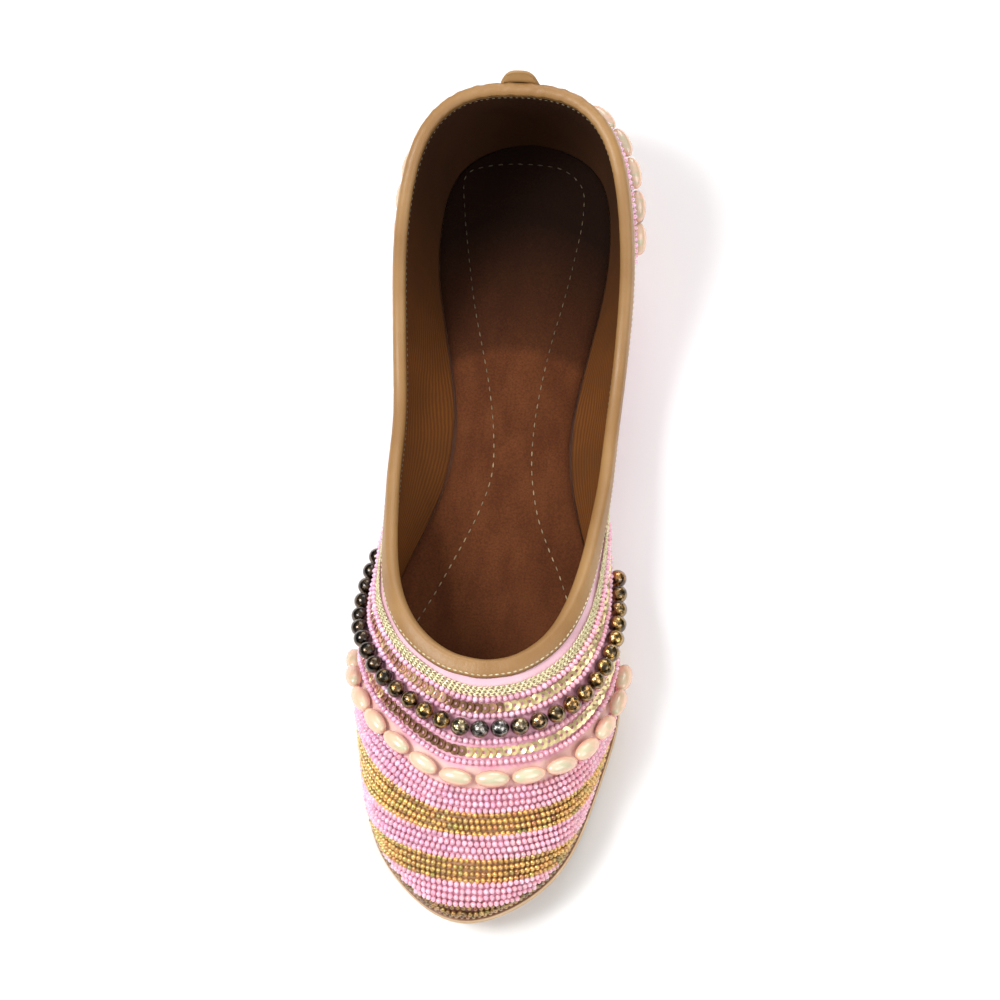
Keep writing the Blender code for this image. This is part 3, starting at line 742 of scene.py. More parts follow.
def buildUpper():
    values = upperValues
    wobble = rng.uniform(0, 2 * np.pi, 8)

    def place(across, down):
        stations = across * around
        depths = down ** values["linePower"] * wayDown(stations)
        out = skinFrame(stations, np.maximum(depths, 0.00002))[3]
        point = skin(stations, depths)
        soft = sum(
            np.sin(2 * np.pi * across * (9 + 5 * n) + wobble[n])
            * np.cos(depths * (120 + 55 * n) + wobble[-n - 1])
            for n in range(4)
        )
        fade = np.clip(depths / 0.006, 0, 1) * np.clip((wayDown(stations) - depths) / 0.004, 0, 1)
        return point + out * (soft * fade * values["wrinkle"] / 2)[:, None]

    def tintOf(across, down):
        return groundTint(across * around, down ** values["linePower"] * wayDown(across * around))

    bm = netGrid(values["columns"], values["lines"], place, True, tintOf)
    facesOut(bm)
    obj = addPiece("upperShell", bm, ("pinkLeather", "lining"), ("upper",), "upper_leather")
    shell = thicken(obj, shoe["wall"])
    shell.material_offset = 1
    shell.material_offset_rim = 0


buildUpper()
print("upper")


def soleLadder(along, across, inset):
    stations = along * toe
    if inset < shoe["soleEdge"]:
        inner, outer = (soleRim(places, inset) for places in (stations, around - stations))
    else:
        inner, outer = (feather(places, inset - shoe["soleEdge"]) for places in (stations, around - stations))
    return inner + (outer - inner) * across[:, None]


# Sole: a light leather edge with a darker line above and a pressed lower rim
soleValues = {
    "steps": 300,
    "across": 12,
    # share of the thickness, how far in, material of the band above
    "levels": (
        (0.00, 0.0007, 0), (0.05, 0.00025, 0), (0.14, 0.0, 0), (0.22, 0.0001, 0),
        (0.27, 0.0004, 0), (0.32, 0.0001, 0), (0.42, 0.0, 0), (0.70, 0.00005, 0),
        (0.78, 0.0002, 1), (0.86, 0.0003, 1), (0.94, 0.0002, 1), (1.00, 0.0007, 1),
    ),
}


def buildOutsole():
    levels = soleValues["levels"]

    def placeAt(share, inset):
        def place(along, across):
            xy = soleLadder(along, across, inset)
            bottom = soleBottom(xy[:, 1])
            return np.column_stack([xy, bottom + (soleTop(xy[:, 1]) - bottom) * share])

        return place

    bm = netGrid(soleValues["steps"], soleValues["across"], placeAt(*levels[0][:2]), marked=True)
    along, across = (bm.verts.layers.float[name] for name in ("along", "across"))
    for face in bm.faces:
        face.material_index = 2
    top = bm.faces[:]
    for number, (share, inset, band) in enumerate(levels[1:]):
        before = set(bm.faces)
        made = bmesh.ops.extrude_face_region(bm, geom=top)
        if number:
            bmesh.ops.delete(bm, geom=top, context="FACES_ONLY")
            before -= set(top)
        top = [item for item in made["geom"] if isinstance(item, bmesh.types.BMFace)]
        for face in set(bm.faces) - before - set(top):
            face.material_index = levels[number][2]
        moved = list({vert for face in top for vert in face.verts})
        shares = (np.array([vert[layer] for vert in moved]) for layer in (along, across))
        points = placeAt(share, inset)(*shares)
        for vert, point in zip(moved, points):
            vert.co = point
    for face in top:
        face.material_index = 1
    bmesh.ops.remove_doubles(bm, verts=bm.verts, dist=1e-6)
    facesOut(bm)
    materials = ("soleLeather", "soleLine", "soleUnder")
    return addPiece("outsoleLeather", bm, materials, ("outsole",), "sole_leather", sharp=50)


buildOutsole()
print("outsole")


# Insole: a suede sheet with softly rolled edges, a crease at the heel seat and a sewn line
insoleValues = {
    "steps": 160,
    "across": 44,
    "inset": 0.0041,
    "rise": 0.0025,
    "thick": 0.0015,
    "hollow": 0.0004,
    "crease": 0.0005,
    "stitchLength": 0.0017,
    "stitchPitch": 0.0031,
    "stitchWidth": 0.0002,
    "stitchHeight": 0.00014,
    # the sewn line follows the insole's edge: in front it opens out towards the ball
    "line": (
        (-0.0265, -0.137), (-0.0195, -0.124), (-0.0137, -0.1114), (-0.0078, -0.0975), (-0.0042, -0.084),
        (-0.0048, -0.070), (-0.0072, -0.056), (-0.0103, -0.0433), (-0.0139, -0.029), (-0.0171, -0.0121),
        (-0.0195, 0.0028), (-0.0202, 0.0128), (-0.0162, 0.0166), (-0.0064, 0.0184), (0.0045, 0.0182),
        (0.0115, 0.0164), (0.0168, 0.0105), (0.0174, 0.000), (0.0158, -0.013), (0.0136, -0.0265),
        (0.0108, -0.040), (0.0086, -0.055), (0.0075, -0.068), (0.0077, -0.082), (0.0102, -0.0955),
        (0.0140, -0.1055), (0.0180, -0.1140), (0.0215, -0.1230),
    ),
}


def insoleHeight(x, y):
    hollow = insoleValues["hollow"] * np.exp(-((x / 0.017) ** 2 + ((y + 0.002) / 0.026) ** 2))
    bend = np.exp(-(((y - 0.005 + 22 * x**2) / 0.0018) ** 2)) * np.exp(-((x / 0.02) ** 2))
    waves = 0.00018 * np.sin(y * 95 + 1.3) * np.cos(x * 120) + 0.00012 * np.sin(x * 210 + y * 60)
    return waves - hollow - insoleValues["crease"] * bend


def buildInsole():
    values = insoleValues

    def place(along, across):
        xy = soleLadder(along, across, values["inset"])
        roll = np.clip(np.minimum(across, 1 - across) * 2 / 0.06, 0, 1)
        z = soleTop(xy[:, 1]) + values["rise"] * (0.72 + 0.28 * np.sqrt(roll))
        return np.column_stack([xy, z + insoleHeight(xy[:, 0], xy[:, 1]) * roll])

    bm = netGrid(values["steps"], values["across"], place, True)
    facesOut(bm)
    if sum(face.normal.z for face in bm.faces) < 0:
        bmesh.ops.reverse_faces(bm, faces=bm.faces)
    bmesh.ops.solidify(bm, geom=bm.faces[:], thickness=values["thick"])
    facesOut(bm)
    return addPiece("insoleSuede", bm, ("suede",), ("insole",), "insole_suede", sharp=60)


buildInsole()


def roundSpline(points, steps):
    # a smooth open curve through points in plan
    points = np.asarray(points, float)
    marks = np.arange(len(points))
    fine = np.linspace(0, len(points) - 1, steps)
    slopes = np.gradient(points, axis=0)
    i = np.clip(np.floor(fine).astype(int), 0, len(points) - 2)
    t = (fine - marks[i])[:, None]
    h = (2 * t**3 - 3 * t**2 + 1, t**3 - 2 * t**2 + t, -2 * t**3 + 3 * t**2, t**3 - t**2)
    return h[0] * points[i] + h[1] * slopes[i] + h[2] * points[i + 1] + h[3] * slopes[i + 1]


def evenMarks(points, pitch):
    reach = reachAlong(points)
    marks = np.arange(pitch / 2, reach[-1], pitch)
    placed = np.stack([np.interp(marks, reach, points[:, axis]) for axis in range(points.shape[1])], axis=1)
    return placed, unit(np.gradient(placed, axis=0))


def buildInsoleStitches():
    values = insoleValues
    path, ahead = evenMarks(roundSpline(values["line"], 900), values["stitchPitch"])
    z = soleTop(path[:, 1]) + values["rise"] + insoleHeight(path[:, 0], path[:, 1]) + 0.00008
    ahead = np.column_stack([ahead, np.zeros(len(ahead))])
    up = np.tile([0.0, 0.0, 1.0], (len(ahead), 1))
    axes = np.stack([ahead, np.cross(up, ahead), up], axis=1)
    half = values["stitchLength"] / 2, values["stitchWidth"], values["stitchHeight"]
    sizes = np.tile(half, (len(ahead), 1))
    # painted shade: the stitches are painted darker towards the heel, like the heel seat
    lit = ease(-path[:, 1], 0.02, 0.085)[:, None] * 0.32 + 0.13
    tints = np.array([1.0, 0.82, 0.66]) * lit * rng.uniform(0.6, 1.25, (len(ahead), 1))
    strewn("insoleStitches", threadShape(6), np.column_stack([path, z]), axes, sizes, tints, ("stitchThread",),
           slot="gold_thread")


buildInsoleStitches()
print("insole")


# Binding: a soft strip folded over the edge, its turned end inside
bindingValues = {
    "columns": 660,
    "lines": 34,
    "drop": 0.0041,
    "turn": 0.0034,
    "crown": 0.72,
    "clear": 0.0002,
    "thick": 0.0007,
    "outerPart": 0.40,
    "rollPart": 0.30,
    "pucker": 0.00014,
    "gatherReach": 2.4,
    "edgeShade": (0.38, 0.035),
    "turnShade": (0.55, 0.735, 0.022),
    "rawEdge": (1.5, 1.7, 2.0),
    "stitchPitch": 0.00175,
    # outer and inner line: up from the edge, over the leather, length, half width, tone
    "stitches": ((0.0009, 0.00014, 0.00128, 0.00022, 1.0), (0.0006, 0.0001, 0.001024, 0.00014, 0.28)),
}


def bindingPoint(stations, share):
    # share 0 is the outer lower edge, 1 the inner edge
    values = bindingValues
    _, _, up, out = skinFrame(stations, 0.0002)
    rim = skin(stations, 0.0)
    roll = shoe["wall"] / 2 + values["clear"] + values["thick"]
    outerPart, rollPart = values["outerPart"], values["rollPart"]
    result = np.empty((len(stations), 3))
    first = share < outerPart
    t = share[first] / outerPart
    low, _, _, normal = skinFrame(stations[first], values["drop"] * (1 - t))
    rounding = np.clip(t / 0.16, 0, 1) ** 0.5
    full = 0.00025 * np.sin(np.pi * np.clip(t, 0, 1))
    lift = values["clear"] + values["thick"] * (0.35 + 0.65 * rounding) + full
    result[first] = low + normal * lift[:, None]
    second = (share >= outerPart) & (share < outerPart + rollPart)
    turn = (np.pi * (share[second] - outerPart) / rollPart)[:, None]
    middle = rim[second] - out[second] * shoe["wall"] / 2
    lean = out[second] * np.cos(turn) + up[second] * (np.sin(turn) * values["crown"])
    result[second] = middle + lean * roll
    third = ~(first | second)
    t = (share[third] - outerPart - rollPart) / (1 - outerPart - rollPart)
    low, _, _, normal = skinFrame(stations[third], values["turn"] * t)
    thick = values["thick"] * (1 - 0.5 * t**4)
    result[third] = low - normal * (shoe["wall"] + values["clear"] + thick)[:, None]
    return result


def buildBinding():
    values = bindingValues
    wobble = rng.uniform(0, 2 * np.pi, 6)

    def place(across, share):
        stations = across * around
        point = bindingPoint(stations, share)
        _, _, up, out = skinFrame(stations, 0.0002)
        gather = np.exp(-((fromHeel(stations) / values["gatherReach"]) ** 2)) + 0.15
        turn = 2 * np.pi * across
        folds = np.sin(turn * 83 + wobble[0]) + 0.7 * np.sin(turn * 137 + wobble[1] + share * 3)
        soft = np.sin(turn * 10 + wobble[2]) + np.sin(turn * 17 + wobble[3])
        lift = values["pucker"] * (folds * gather * 0.8 + soft * 0.5) * np.sin(np.pi * share) ** 0.5
        return point + (out * 0.7 + up * 0.5) * lift[:, None]

    def tintOf(across, share):
        # a darker lower edge, a shaded turn and a pale raw edge inside
        edge, edgeWidth = values["edgeShade"]
        turn, turnPlace, turnWidth = values["turnShade"]
        tone = 1 - edge * np.exp(-((share / edgeWidth) ** 2))
        tone = tone - turn * np.exp(-(((share - turnPlace) / turnWidth) ** 2))
        raw = np.exp(-(((share - 1) / 0.03) ** 2))[:, None]
        return tone[:, None] * (1 - raw) + raw * np.array(values["rawEdge"])

    bm = netGrid(values["columns"], values["lines"], place, True, tintOf)
    facesOut(bm)
    strip = addPiece("collarBinding", bm, ("bindingLeather",), ("collar_binding",), "binding_leather")
    thicken(strip, values["thick"])


def joinLists(parts):
    return [np.concatenate([part[index] for part in parts]) for index in range(len(parts[0]))]


def buildBindingStitches():
    values = bindingValues
    lines = []
    for inside, (lift, over, length, wide, tone) in enumerate(values["stitches"]):
        cover = values["clear"] + values["thick"] + over
        depth = (values["turn"] if inside else values["drop"]) - lift
        height = -(shoe["wall"] + cover) if inside else cover
        _, point, ahead, up, out = placesAlong(depth, 0, around, values["stitchPitch"], height)
        along = unit(ahead + up * rng.normal(0, 0.07, len(point))[:, None])
        half = rng.uniform(0.88, 1.08, len(point)) * length / 2
        sizes = np.column_stack([half, np.full((len(point), 2), wide)])
        tints = np.full((len(point), 3), tone) * rng.uniform(0.7, 1.0, (len(point), 1))
        lines.append((point, stitchAxes(along, out), sizes, tints))
    strewn("bindingStitches", threadShape(6), *joinLists(lines), ("stitchThread",), slot="gold_thread")


buildBinding()
buildBindingStitches()
print("binding")


# Heel tab: a small folded pull, rounded at the top
tabValues = {
    "columns": 28,
    "lines": 22,
    "width": 0.0126,
    "taper": 0.12,
    "crown": 0.0005,
    "drop": 0.0062,
    "rise": 0.0030,
    "away": 0.0013,
    "thick": 0.00096,
    "curl": 0.9,
}


def buildTab():
    values = tabValues
    ends = collarCurve(np.array([-0.1, 0.1]))
    stationWidth = np.linalg.norm(ends[1] - ends[0]) / 0.2

    def place(across, share):
        side = 2 * across - 1
        taper = 1 - values["taper"] * share
        stations = side * taper * values["width"] / 2 / stationWidth
        rise = -values["drop"] + (values["drop"] + values["rise"] * (1 - np.abs(side) ** 3.2)) * share
        depth = np.clip(-rise, 0, None)
        _, _, up, out = skinFrame(stations, np.maximum(depth, 0.0002))
        point = skin(stations, depth) + up * np.maximum(rise, 0)[:, None]
        crown = values["crown"] * (1 - side**2) * np.sin(np.pi * np.clip(share, 0, 1)) ** 0.7
        edge = np.clip((1 - np.abs(side)) / 0.12, 0, 1) ** 0.5 * np.clip((1 - share) / 0.08, 0, 1) ** 0.5
        away = values["away"] + 0.0004 * edge + crown + values["curl"] * np.clip(rise, 0, None)
        return point + out * away[:, None]

    bm = netGrid(values["columns"], values["lines"], place)
    facesOut(bm)
    thicken(addPiece("heelTab", bm, ("tabLeather",), ("heel_tab",), "binding_leather"), values["thick"])


buildTab()
print("heel tab")


# Zari: chain stitches in metal thread, each link two leaning strands
zariValues = {
    "pitch": 0.0016,
    "strand": 0.00034,
    "lean": 0.34,
    "spread": 0.00030,
    "height": 0.0006,
    "rowGap": 0.00088,
}


def chainLinks(depthOf, start, end, wide=1.0):
    values = zariValues
    _, point, ahead, up, out = placesAlong(depthOf, start, end, values["pitch"], values["height"])
    count = len(point)
    strands = []
    for side in (-1, 1):
        along = unit(ahead + up * (side * values["lean"]))
        centres = point + up * (side * values["spread"] * wide) + out * rng.normal(0, 0.00004, (count, 1))
        length = values["pitch"] * 0.62 * rng.uniform(0.9, 1.1, count)
        half = np.full(count, values["strand"])
        sizes = np.column_stack([length, half * wide, half * 0.9])
        strands.append((centres, stitchAxes(along, out), sizes))
    return joinLists(strands)


def zariPiece(name, parts, *replaces):
    centres, axes, sizes = joinLists(parts)
    strewn(name, threadShape(5, 2), centres, axes, sizes, np.ones((len(centres), 3)), ("zari",), replaces,
           "gold_thread")


def buildZari():
    start, end = panelSpan(cordDepth, -0.12)
    bandDepth = rows["cord"] * vampLength
    parts = [
        chainLinks(rowAt(bandDepth + row * zariValues["rowGap"]), start + 0.03 * row, end) for row in (-1, 0, 1)
    ]
    parts.append(chainLinks(bandDepth, end - around, start, 0.8))
    zariPiece("collarZari", parts, "collar_cord")

    parts = []
    depths = np.linspace(cordDepth + 0.001, panelFootDepth, 60)
    for side in (0, 1):
        ends = np.array([panelSpan(depth, -0.13)[side] for depth in depths])
        order = np.argsort(ends)

        def depthOf(stations, ends=ends[order], depths=depths[order]):
            return np.interp(stations, ends, depths)

        parts.append(chainLinks(depthOf, ends.min(), ends.max(), 0.85))
    zariPiece("panelZari", parts, "vamp_cord_inner", "vamp_cord_outer")

    def heelCord(stations):
        sweep = 1 - np.clip(np.abs(stations) / rows["heelFront"], 0, 1) ** rows["heelBend"]
        top = cordDepth + 0.0016
        return top + (wayDown(stations) - shoe["toeStrip"] - top) * sweep

    zariPiece("heelZari", [chainLinks(heelCord, -rows["heelFront"], rows["heelFront"], 0.85)], "heel_cord")


buildZari()
print("zari")


# Seed beads: barrels threaded along each row
seedValues = {
    "pinkPitch": 0.00172,
    "goldPitch": 0.00162,
    "pinkSize": (0.00082, 0.00097, 0.00094),
    "goldSize": (0.00080, 0.00091, 0.00088),
    "lilac": (0.90, 0.52, 0.70),
    "salmon": (0.95, 0.50, 0.585),
    "gold": (0.80, 0.56, 0.19),
    "amber": (0.70, 0.41, 0.12),
    "edgeGold": (0.34, 0.19, 0.06),
    "pinkHeight": 0.0009,
    "goldHeight": 0.00078,
    "edgeHeight": 0.0008,
    "bandRows": 4,
    "tip": 0.11,
    "nod": 0.08,
    "stray": (0.00007, 0.00006),
    "sizeRange": (0.92, 1.07),
    "leastSpread": 0.94,
    # rows round the toe's edge: above the sole, and how many stations to each side
    "edgeRows": ((0.0009, 3.3), (0.0023, 2.9)),
}


def seedRow(depth, span, pitch, size, height):
    values = seedValues
    along = depth if callable(depth) else rowAt(depth)
    stations, point, ahead, up, out = placesAlong(along, *span, pitch, height)
    count = len(point)
    # beads are larger where the rows spread
    spread = 1.0
    if not callable(depth):
        spread = (rowDepth(stations, depth + 0.001) - rowDepth(stations, depth - 0.001)) / 0.002
    tip = rng.normal(0, values["tip"], (count, 1))
    along = unit(ahead + up * tip + out * rng.normal(0, values["nod"], (count, 1)))
    stray = values["stray"]
    centres = point + up * rng.normal(0, stray[0], (count, 1)) + out * rng.normal(0, stray[1], (count, 1))
    sizes = np.array(size) * rng.uniform(*values["sizeRange"], (count, 3))
    sizes[:, 1] *= np.maximum(spread, values["leastSpread"])
    return centres, beadAxes(along, out), sizes


def band(first, last, count):
    return np.linspace(first, last, count) * vampLength


def seedPiece(name, beads, colours, finish, replaces=(), slot="seed_beads"):
    centres, axes, sizes = joinLists(beads)
    strewn(name, beadShape(8, 6), centres, axes, sizes, np.concatenate(colours), (finish,), replaces, slot)


def buildSeeds():
    values = seedValues

    def toned(row, first, second, spread, light):
        # from the inner side and the collar to the outer side and the toe
        points = row[0]
        turn = np.clip(0.5 + points[:, 0] / 0.07 - (points[:, 1] + 0.15) / 0.16, 0, 1)[:, None]
        base = np.array(first) * (1 - turn) + np.array(second) * turn
        return np.clip(base * wander(len(points), (0.8, 0.8, 0.8), spread, light) / 0.8, 0.005, 1)

    def pinkRows(depths, spanOf):
        kind = values["pinkPitch"], values["pinkSize"], values["pinkHeight"]
        made = [seedRow(depth, spanOf(depth), *kind) for depth in depths]
        return made, [toned(row, values["lilac"], values["salmon"], 0.09, 0.16) for row in made]

    def goldRows(depths, spanOf, edge=False):
        kind = values["goldPitch"], values["goldSize"], values["goldHeight"]
        made = [seedRow(depth, spanOf(depth), *kind) for depth in depths]
        ends = (values["edgeGold"], values["edgeGold"]) if edge else (values["gold"], values["amber"])
        return made, [toned(row, *ends, 0.22, 0.14) for row in made]

    for name, shares, node in (("throatSeeds", rows["throatPink"], "throat_beadwork"),
                               ("middleSeeds", rows["middlePink"], "middle_beadwork")):
        seedPiece(name, *pinkRows(np.array(shares) * vampLength, panelSpan), "seedGlass", (node,))
    depths = np.concatenate([band(first, last, values["bandRows"]) for first, last in rows["toePink"]])
    seedPiece("toePinkSeeds", *pinkRows(depths, panelSpan), "seedGlass", ("toe_beadwork",))
    depths = np.concatenate([band(first, last, values["bandRows"]) for first, last in rows["toeGold"]])
    made, colours = goldRows(depths, panelSpan)
    tip, tipColours = goldRows(band(*rows["toeEdgeGold"], 2), panelSpan, True)
    # two rows follow the sole's edge round the toe, the upper one shorter
    edge = [
        seedRow(lambda stations, up=up: wayDown(stations) - up, (toe - reach, toe + reach), values["goldPitch"],
                values["goldSize"], values["edgeHeight"])
        for up, reach in values["edgeRows"]
    ]
    edgeColours = [wander(len(row[0]), values["edgeGold"], 0.24, 0.1) for row in edge]
    seedPiece("toeGoldSeeds", made + tip + edge, colours + tipColours + edgeColours, "goldGlass")
    seedPiece("heelSeeds", *pinkRows([heelDepth(share) for share in rows["heelPink"]], heelSpan), "seedGlass",
              ("heel_beadwork",))
    seedPiece("heelGoldSeeds", *goldRows([heelDepth(rows["heelGold"])], heelSpan), "goldGlass")


buildSeeds()
print("seeds")


# Sequins: thin cupped rings, each overlapping the next
sequinValues = {
    "pitch": 0.00215,
    "radius": 0.00155,
    "sides": 14,
    "hole": 0.34,
    "cup": 0.16,
    "margin": 0.12,
    "thick": 0.09,
    "tilt": 0.34,
    "height": 0.0007,
    "pale": (0.86, 0.70, 0.36),
    "peach": (0.74, 0.47, 0.30),
    "bronze": (0.36, 0.20, 0.10),
}


def sequinShape():
    bm = bmesh.new()
    bmesh.ops.create_circle(bm, segments=sequinValues["sides"], radius=1.0, cap_ends=False)
    made = bmesh.ops.extrude_edge_only(bm, edges=bm.edges[:])["geom"]
    for vert in (item for item in made if isinstance(item, bmesh.types.BMVert)):
        vert.co *= sequinValues["hole"]
        vert.co.z = -sequinValues["cup"]
    facesOut(bm)
    bmesh.ops.solidify(bm, geom=bm.faces[:], thickness=sequinValues["thick"])
    facesOut(bm)
    return bm


def sequinRow(depth, span, middle):
    values = sequinValues
    stations, point, ahead, up, out = placesAlong(rowAt(depth), *span, values["pitch"], values["height"])
    count = len(point)
    lean = values["tilt"] + rng.normal(0, 0.10, (count, 1))
    normal = unit(out - ahead * lean + up * rng.normal(0, 0.12, (count, 1)))
    along = unit(np.cross(np.cross(normal, ahead), normal))
    axes = np.stack([along, np.cross(normal, along), normal], axis=1)
    sizes = np.full((count, 3), values["radius"]) * rng.uniform(0.93, 1.06, (count, 1))
    pale, peach, bronze = (np.array(values[name]) for name in ("pale", "peach", "bronze"))
    # pale gold on the outer side, bronze about the middle, a mixture on the inner side
    side = (stations - toe - middle + rng.normal(0, 0.15, count))[:, None]
    mixed = np.where(rng.random((count, 1)) < 0.4, pale, peach)
    pick = np.where(side > 0.3, pale, np.where(side > -1.9, bronze, mixed))
    return point, axes, sizes, np.clip(pick * rng.uniform(0.82, 1.15, (count, 1)), 0, 1)


def buildSequins():
    made = [
        sequinRow(depth, spanOf(depth, sequinValues["margin"]), middle)
        for depth, spanOf, middle in (
            (rows["throatSequins"] * vampLength, panelSpan, 0.6),
            (rows["middleSequins"] * vampLength, panelSpan, -0.9),
            (heelDepth(rows["heelSequins"]), heelSpan, -toe),
        )
    ]
    strewn("sequins", sequinShape(), *joinLists(made), ("sequinFoil",), slot="seed_beads", sharp=50)


buildSequins()
print("sequins")


# Large beads: bronze rounds and long pearls on their threads
largeValues = {
    "dark": 0.0054,
    "darkPitch": 0.0057,
    "pearlLength": 0.0103,
    "pearlWidth": 0.0050,
    "seat": 0.82,
    "thread": 0.0005,
    "margin": 0.16,
    # sides, rings and how full the shoulders are
    "roundShape": (28, 18, 1),
    "pearlShape": (28, 24, 0.9),
    "bronze": (0.44, 0.26, 0.075),
    "blackReflection": (0.075, 0.045, 0.02),
    "steelReflection": (0.30, 0.29, 0.28),
    "cream": (0.97, 0.97, 0.97),
    # loose rounds on each side of the heel: station and share of the way down
    "rounds": ((0.6, 0.47), (1.9, 0.55), (3.1, 0.60), (0.7, 0.74)),
}


def largeShape(sides, rings, power):
    bm = bmesh.new()
    bmesh.ops.create_uvsphere(bm, u_segments=sides, v_segments=rings, radius=1.0)
    bmesh.ops.rotate(bm, verts=bm.verts, matrix=Matrix.Rotation(math.pi / 2, 3, "Y"))
    for vert in bm.verts:
        side = math.hypot(vert.co.y, vert.co.z)
        if side > 1e-6 and power != 1:
            grow = side**power / side
            vert.co.y *= grow
            vert.co.z *= grow
    return bm


def largeRow(depth, spanOf, length, width, wobble):
    height = largeValues["thread"] + largeValues["seat"] * width / 2
    stations, point, ahead, up, out = placesAlong(
        rowAt(depth), *spanOf(depth, largeValues["margin"]), length, height)
    along = unit(ahead + up * rng.normal(0, wobble, (len(point), 1)))
    return stations, point, beadAxes(along, out)


def heelPlaces(places):
    # point and axes of loose places on both sides of the heel
    for side in (-1, 1):
        for station, share in places:
            where = side * station
            spot, ahead, up, out = skinFrame(np.array([where]), heelDepth(share, where))
            yield spot[0], ahead[0], up[0], out[0]


def buildLargeBeads():
    values = largeValues
    stations, point, axes = largeRow(
        rows["dark"] * vampLength, panelSpan, values["darkPitch"], values["dark"], 0.03)
    count = len(point)
    sizes = np.full((count, 3), values["dark"] / 2) * rng.uniform(0.97, 1.02, (count, 3))
    # the beads' own bronze, with painted reflection: nearly black on the inner side and steel about the middle
    side = stations - toe
    steelReflection = np.exp(-(((side - 0.5) / 1.0) ** 2))[:, None]
    blackReflection = ease(-side, 1.0, 3.5)[:, None]
    tints = wander(count, values["bronze"], 0.16) * (1 - blackReflection) + np.array(values["blackReflection"]) * blackReflection
    tints = tints * (1 - steelReflection) + np.array(values["steelReflection"]) * steelReflection
    strewn("bronzeBeads", largeShape(*values["roundShape"]), point, axes, sizes, tints, ("bronzeGlass",),
           ("dark_bead_strand",), "dark_beads")

    half = np.array([values["pearlLength"] / 2 * 0.97, values["pearlWidth"] / 2, values["pearlWidth"] / 2])
    for name, depth, spanOf, node in (
        ("frontPearls", rows["pearls"] * vampLength, panelSpan, "pearl_strand"),
        ("heelPearls", heelDepth(rows["heelPearls"]), heelSpan, "heel_pearl_strand"),
    ):
        _, point, axes = largeRow(depth, spanOf, values["pearlLength"], values["pearlWidth"], 0.05)
        sizes = np.tile(half, (len(point), 1)) * rng.uniform(0.95, 1.02, (len(point), 3))
        shape = largeShape(*values["pearlShape"])
        tints = wander(len(point), values["cream"], 0.03)
        strewn(name, shape, point, axes, sizes, tints, ("pearlSkin",), (node,), "pearls")

    places = list(heelPlaces(values["rounds"]))
    count = len(places)
    point = [spot + out * (values["dark"] / 2 - 0.0001) for spot, _, _, out in places]
    nodes = [f"heel_stud_{number + 1}" for number in range(count)]
    sizes = np.full((count, 3), values["dark"] / 2)
    axes = [place[1:] for place in places]
    strewn("heelRounds", largeShape(*values["roundShape"]), point, axes, sizes,
           wander(count, values["bronze"], 0.2), ("bronzeGlass",), nodes, "dark_beads")


buildLargeBeads()
print("large beads")


# Small gold star stitches between the loose heel beads
starValues = {
    "rays": 3,
    "lift": 0.0003,
    "halfSizes": (0.0011, 0.00022, 0.0002),
    "places": ((0.15, 0.62), (1.25, 0.49), (1.35, 0.70), (2.5, 0.66), (1.9, 0.83), (0.2, 0.86)),
}


def buildStars():
    values = starValues
    centres, axes = [], []
    for spot, ahead, up, out in heelPlaces(values["places"]):
        for ray in range(values["rays"]):
            turn = ray * math.pi / values["rays"]
            along = ahead * math.cos(turn) + up * math.sin(turn)
            centres.append(spot + out * values["lift"])
            axes.append([along, np.cross(out, along), out])
    sizes = np.tile(values["halfSizes"], (len(centres), 1))
    strewn("heelStars", threadShape(5), centres, axes, sizes, np.ones((len(centres), 3)), ("zari",),
           slot="gold_thread")


buildStars()
print("star stitches")


# Floor, light and camera
stageValues = {
    "shoeMiddle": (0.0, -0.096, 0.020),
    "cameraPlace": (0.0925, -0.4026, 0.9555),
    "heelTop": (0, 0.03, 0.06),
    "toeTip": (0, -0.222, 0.012),
    "shareOfFrame": 0.87,
    "axisTilt": 3.5,
    "sensor": 36.0,
    "floorSize": 3.0,
    "floor": (0.92, 0.92, 0.92),
    "evenLight": 0.52,
    # place, size and power
    "lamps": {
        "key": ((-0.75, -0.25, 1.25), 0.55, 17),
        "fill": ((0.9, -0.7, 0.9), 0.9, 7),
        "back": ((0.15, 0.95, 0.75), 0.7, 6),
    },
}


def buildFloor():
    bm = bmesh.new()
    bmesh.ops.create_grid(bm, x_segments=1, y_segments=1, size=stageValues["floorSize"])
    mesh = bpy.data.meshes.new("floor")
    bm.to_mesh(mesh)
    bm.free()
    floor = bpy.data.objects.new("floor", mesh)
    scene.collection.objects.link(floor)
    inputs = {"Base Color": (*stageValues["floor"], 1), "Roughness": 0.9}
    mesh.materials.append(newMaterial("paleFloor", inputs)[0])


def areaLight(name, place, size, power):
    data = bpy.data.lights.new(name, "AREA")
    data.size = size
    data.energy = power
    lamp = bpy.data.objects.new(name, data)
    scene.collection.objects.link(lamp)
    lamp.location = place
    way = Vector(stageValues["shoeMiddle"]) - Vector(place)
    lamp.rotation_euler = way.to_track_quat("-Z", "Y").to_euler()


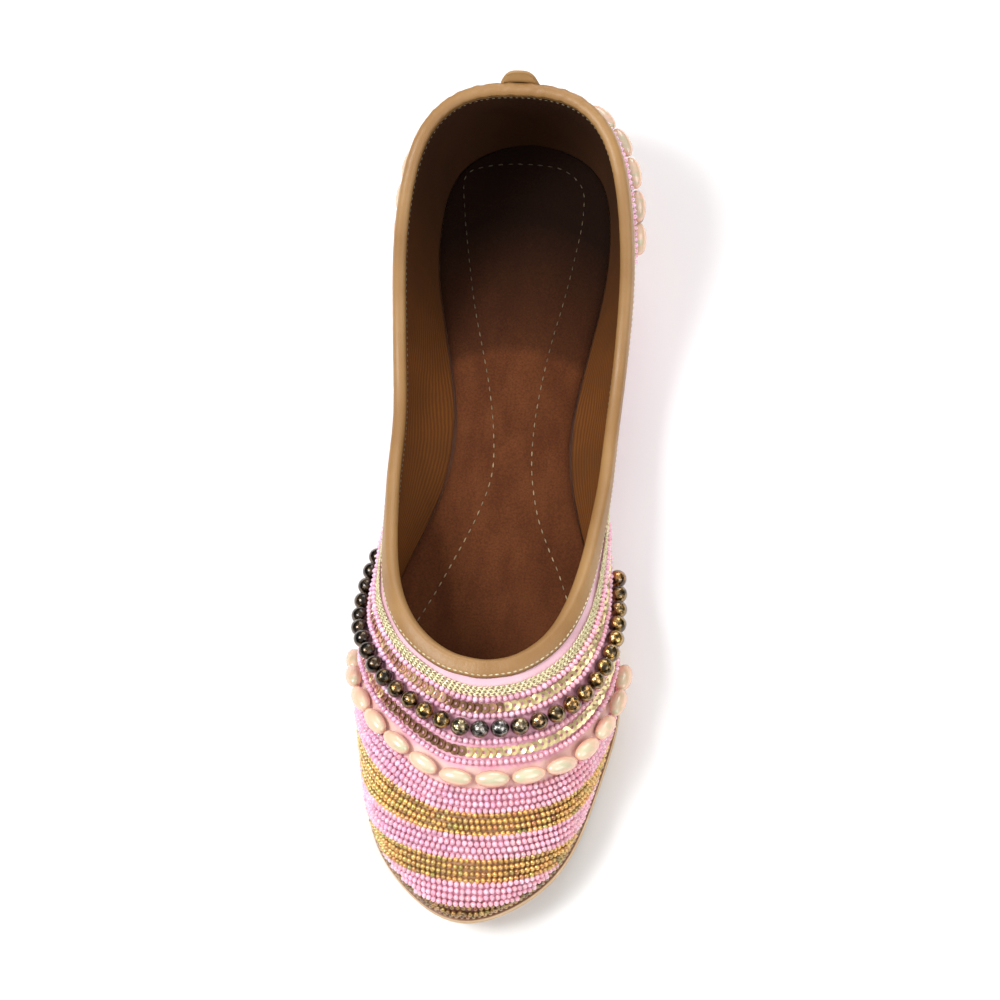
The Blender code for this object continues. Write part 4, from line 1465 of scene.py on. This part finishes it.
def buildCamera():
    values = stageValues
    place, middle = Vector(values["cameraPlace"]), Vector(values["shoeMiddle"])
    back = (place - middle).normalized()
    right = Vector((0, 0, 1)).cross(back).normalized()
    up = back.cross(right)
    heel, tip = Vector(values["heelTop"]), Vector(values["toeTip"])

    def seen(point):
        way = point - place
        away = -way.dot(back)
        return Vector((way.dot(right) / away, way.dot(up) / away))

    drawn = seen(heel) - seen(tip)
    # the shoe's length leans by axisTilt, its toe to the left
    turn = math.atan2(drawn.x, drawn.y) - math.radians(values["axisTilt"])
    right, up = right * math.cos(turn) - up * math.sin(turn), up * math.cos(turn) + right * math.sin(turn)
    data = bpy.data.cameras.new("camera")
    data.sensor_width = values["sensor"]
    data.sensor_fit = "HORIZONTAL"
    data.lens = values["sensor"] * values["shareOfFrame"] / drawn.length
    data.clip_start, data.clip_end = 0.05, 20
    camera = bpy.data.objects.new("camera", data)
    scene.collection.objects.link(camera)
    camera.matrix_world = Matrix((
        (right.x, up.x, back.x, place.x),
        (right.y, up.y, back.y, place.y),
        (right.z, up.z, back.z, place.z),
        (0, 0, 0, 1),
    ))
    bpy.context.scene.camera = camera


def buildWorld():
    # even light; in reflections the room is darker near the horizon, and the camera sees plain white
    world = bpy.data.worlds.new("studio")
    world.use_nodes = True
    tree = world.node_tree
    last = tree.nodes["Background"]
    last.inputs["Color"].default_value = (1, 1, 1, 1)
    last.inputs["Strength"].default_value = stageValues["evenLight"]
    ways = addNode(tree, "SeparateXYZ", {"Vector": addNode(tree, "TexCoord").outputs["Generated"]})
    horizon = rangeOf(tree, ways.outputs["Z"], 0.35, 0.95, 0.05, 0.8)
    room = addNode(tree, "Background", {"Color": (1, 0.98, 0.95, 1), "Strength": horizon})
    seen = addNode(tree, "Background", {"Color": (1, 1, 1, 1)})
    path = addNode(tree, "LightPath")
    for ray, shown in (("Is Glossy Ray", room), ("Is Camera Ray", seen)):
        last = addNode(tree, "MixShader", {0: path.outputs[ray], 1: last.outputs[0], 2: shown.outputs[0]})
    tree.links.new(last.outputs[0], tree.nodes["World Output"].inputs["Surface"])
    scene.world = world


buildFloor()
for name, lamp in stageValues["lamps"].items():
    areaLight(name, *lamp)
buildWorld()
scene.view_settings.view_transform = "Standard"
buildCamera()
print("stage")
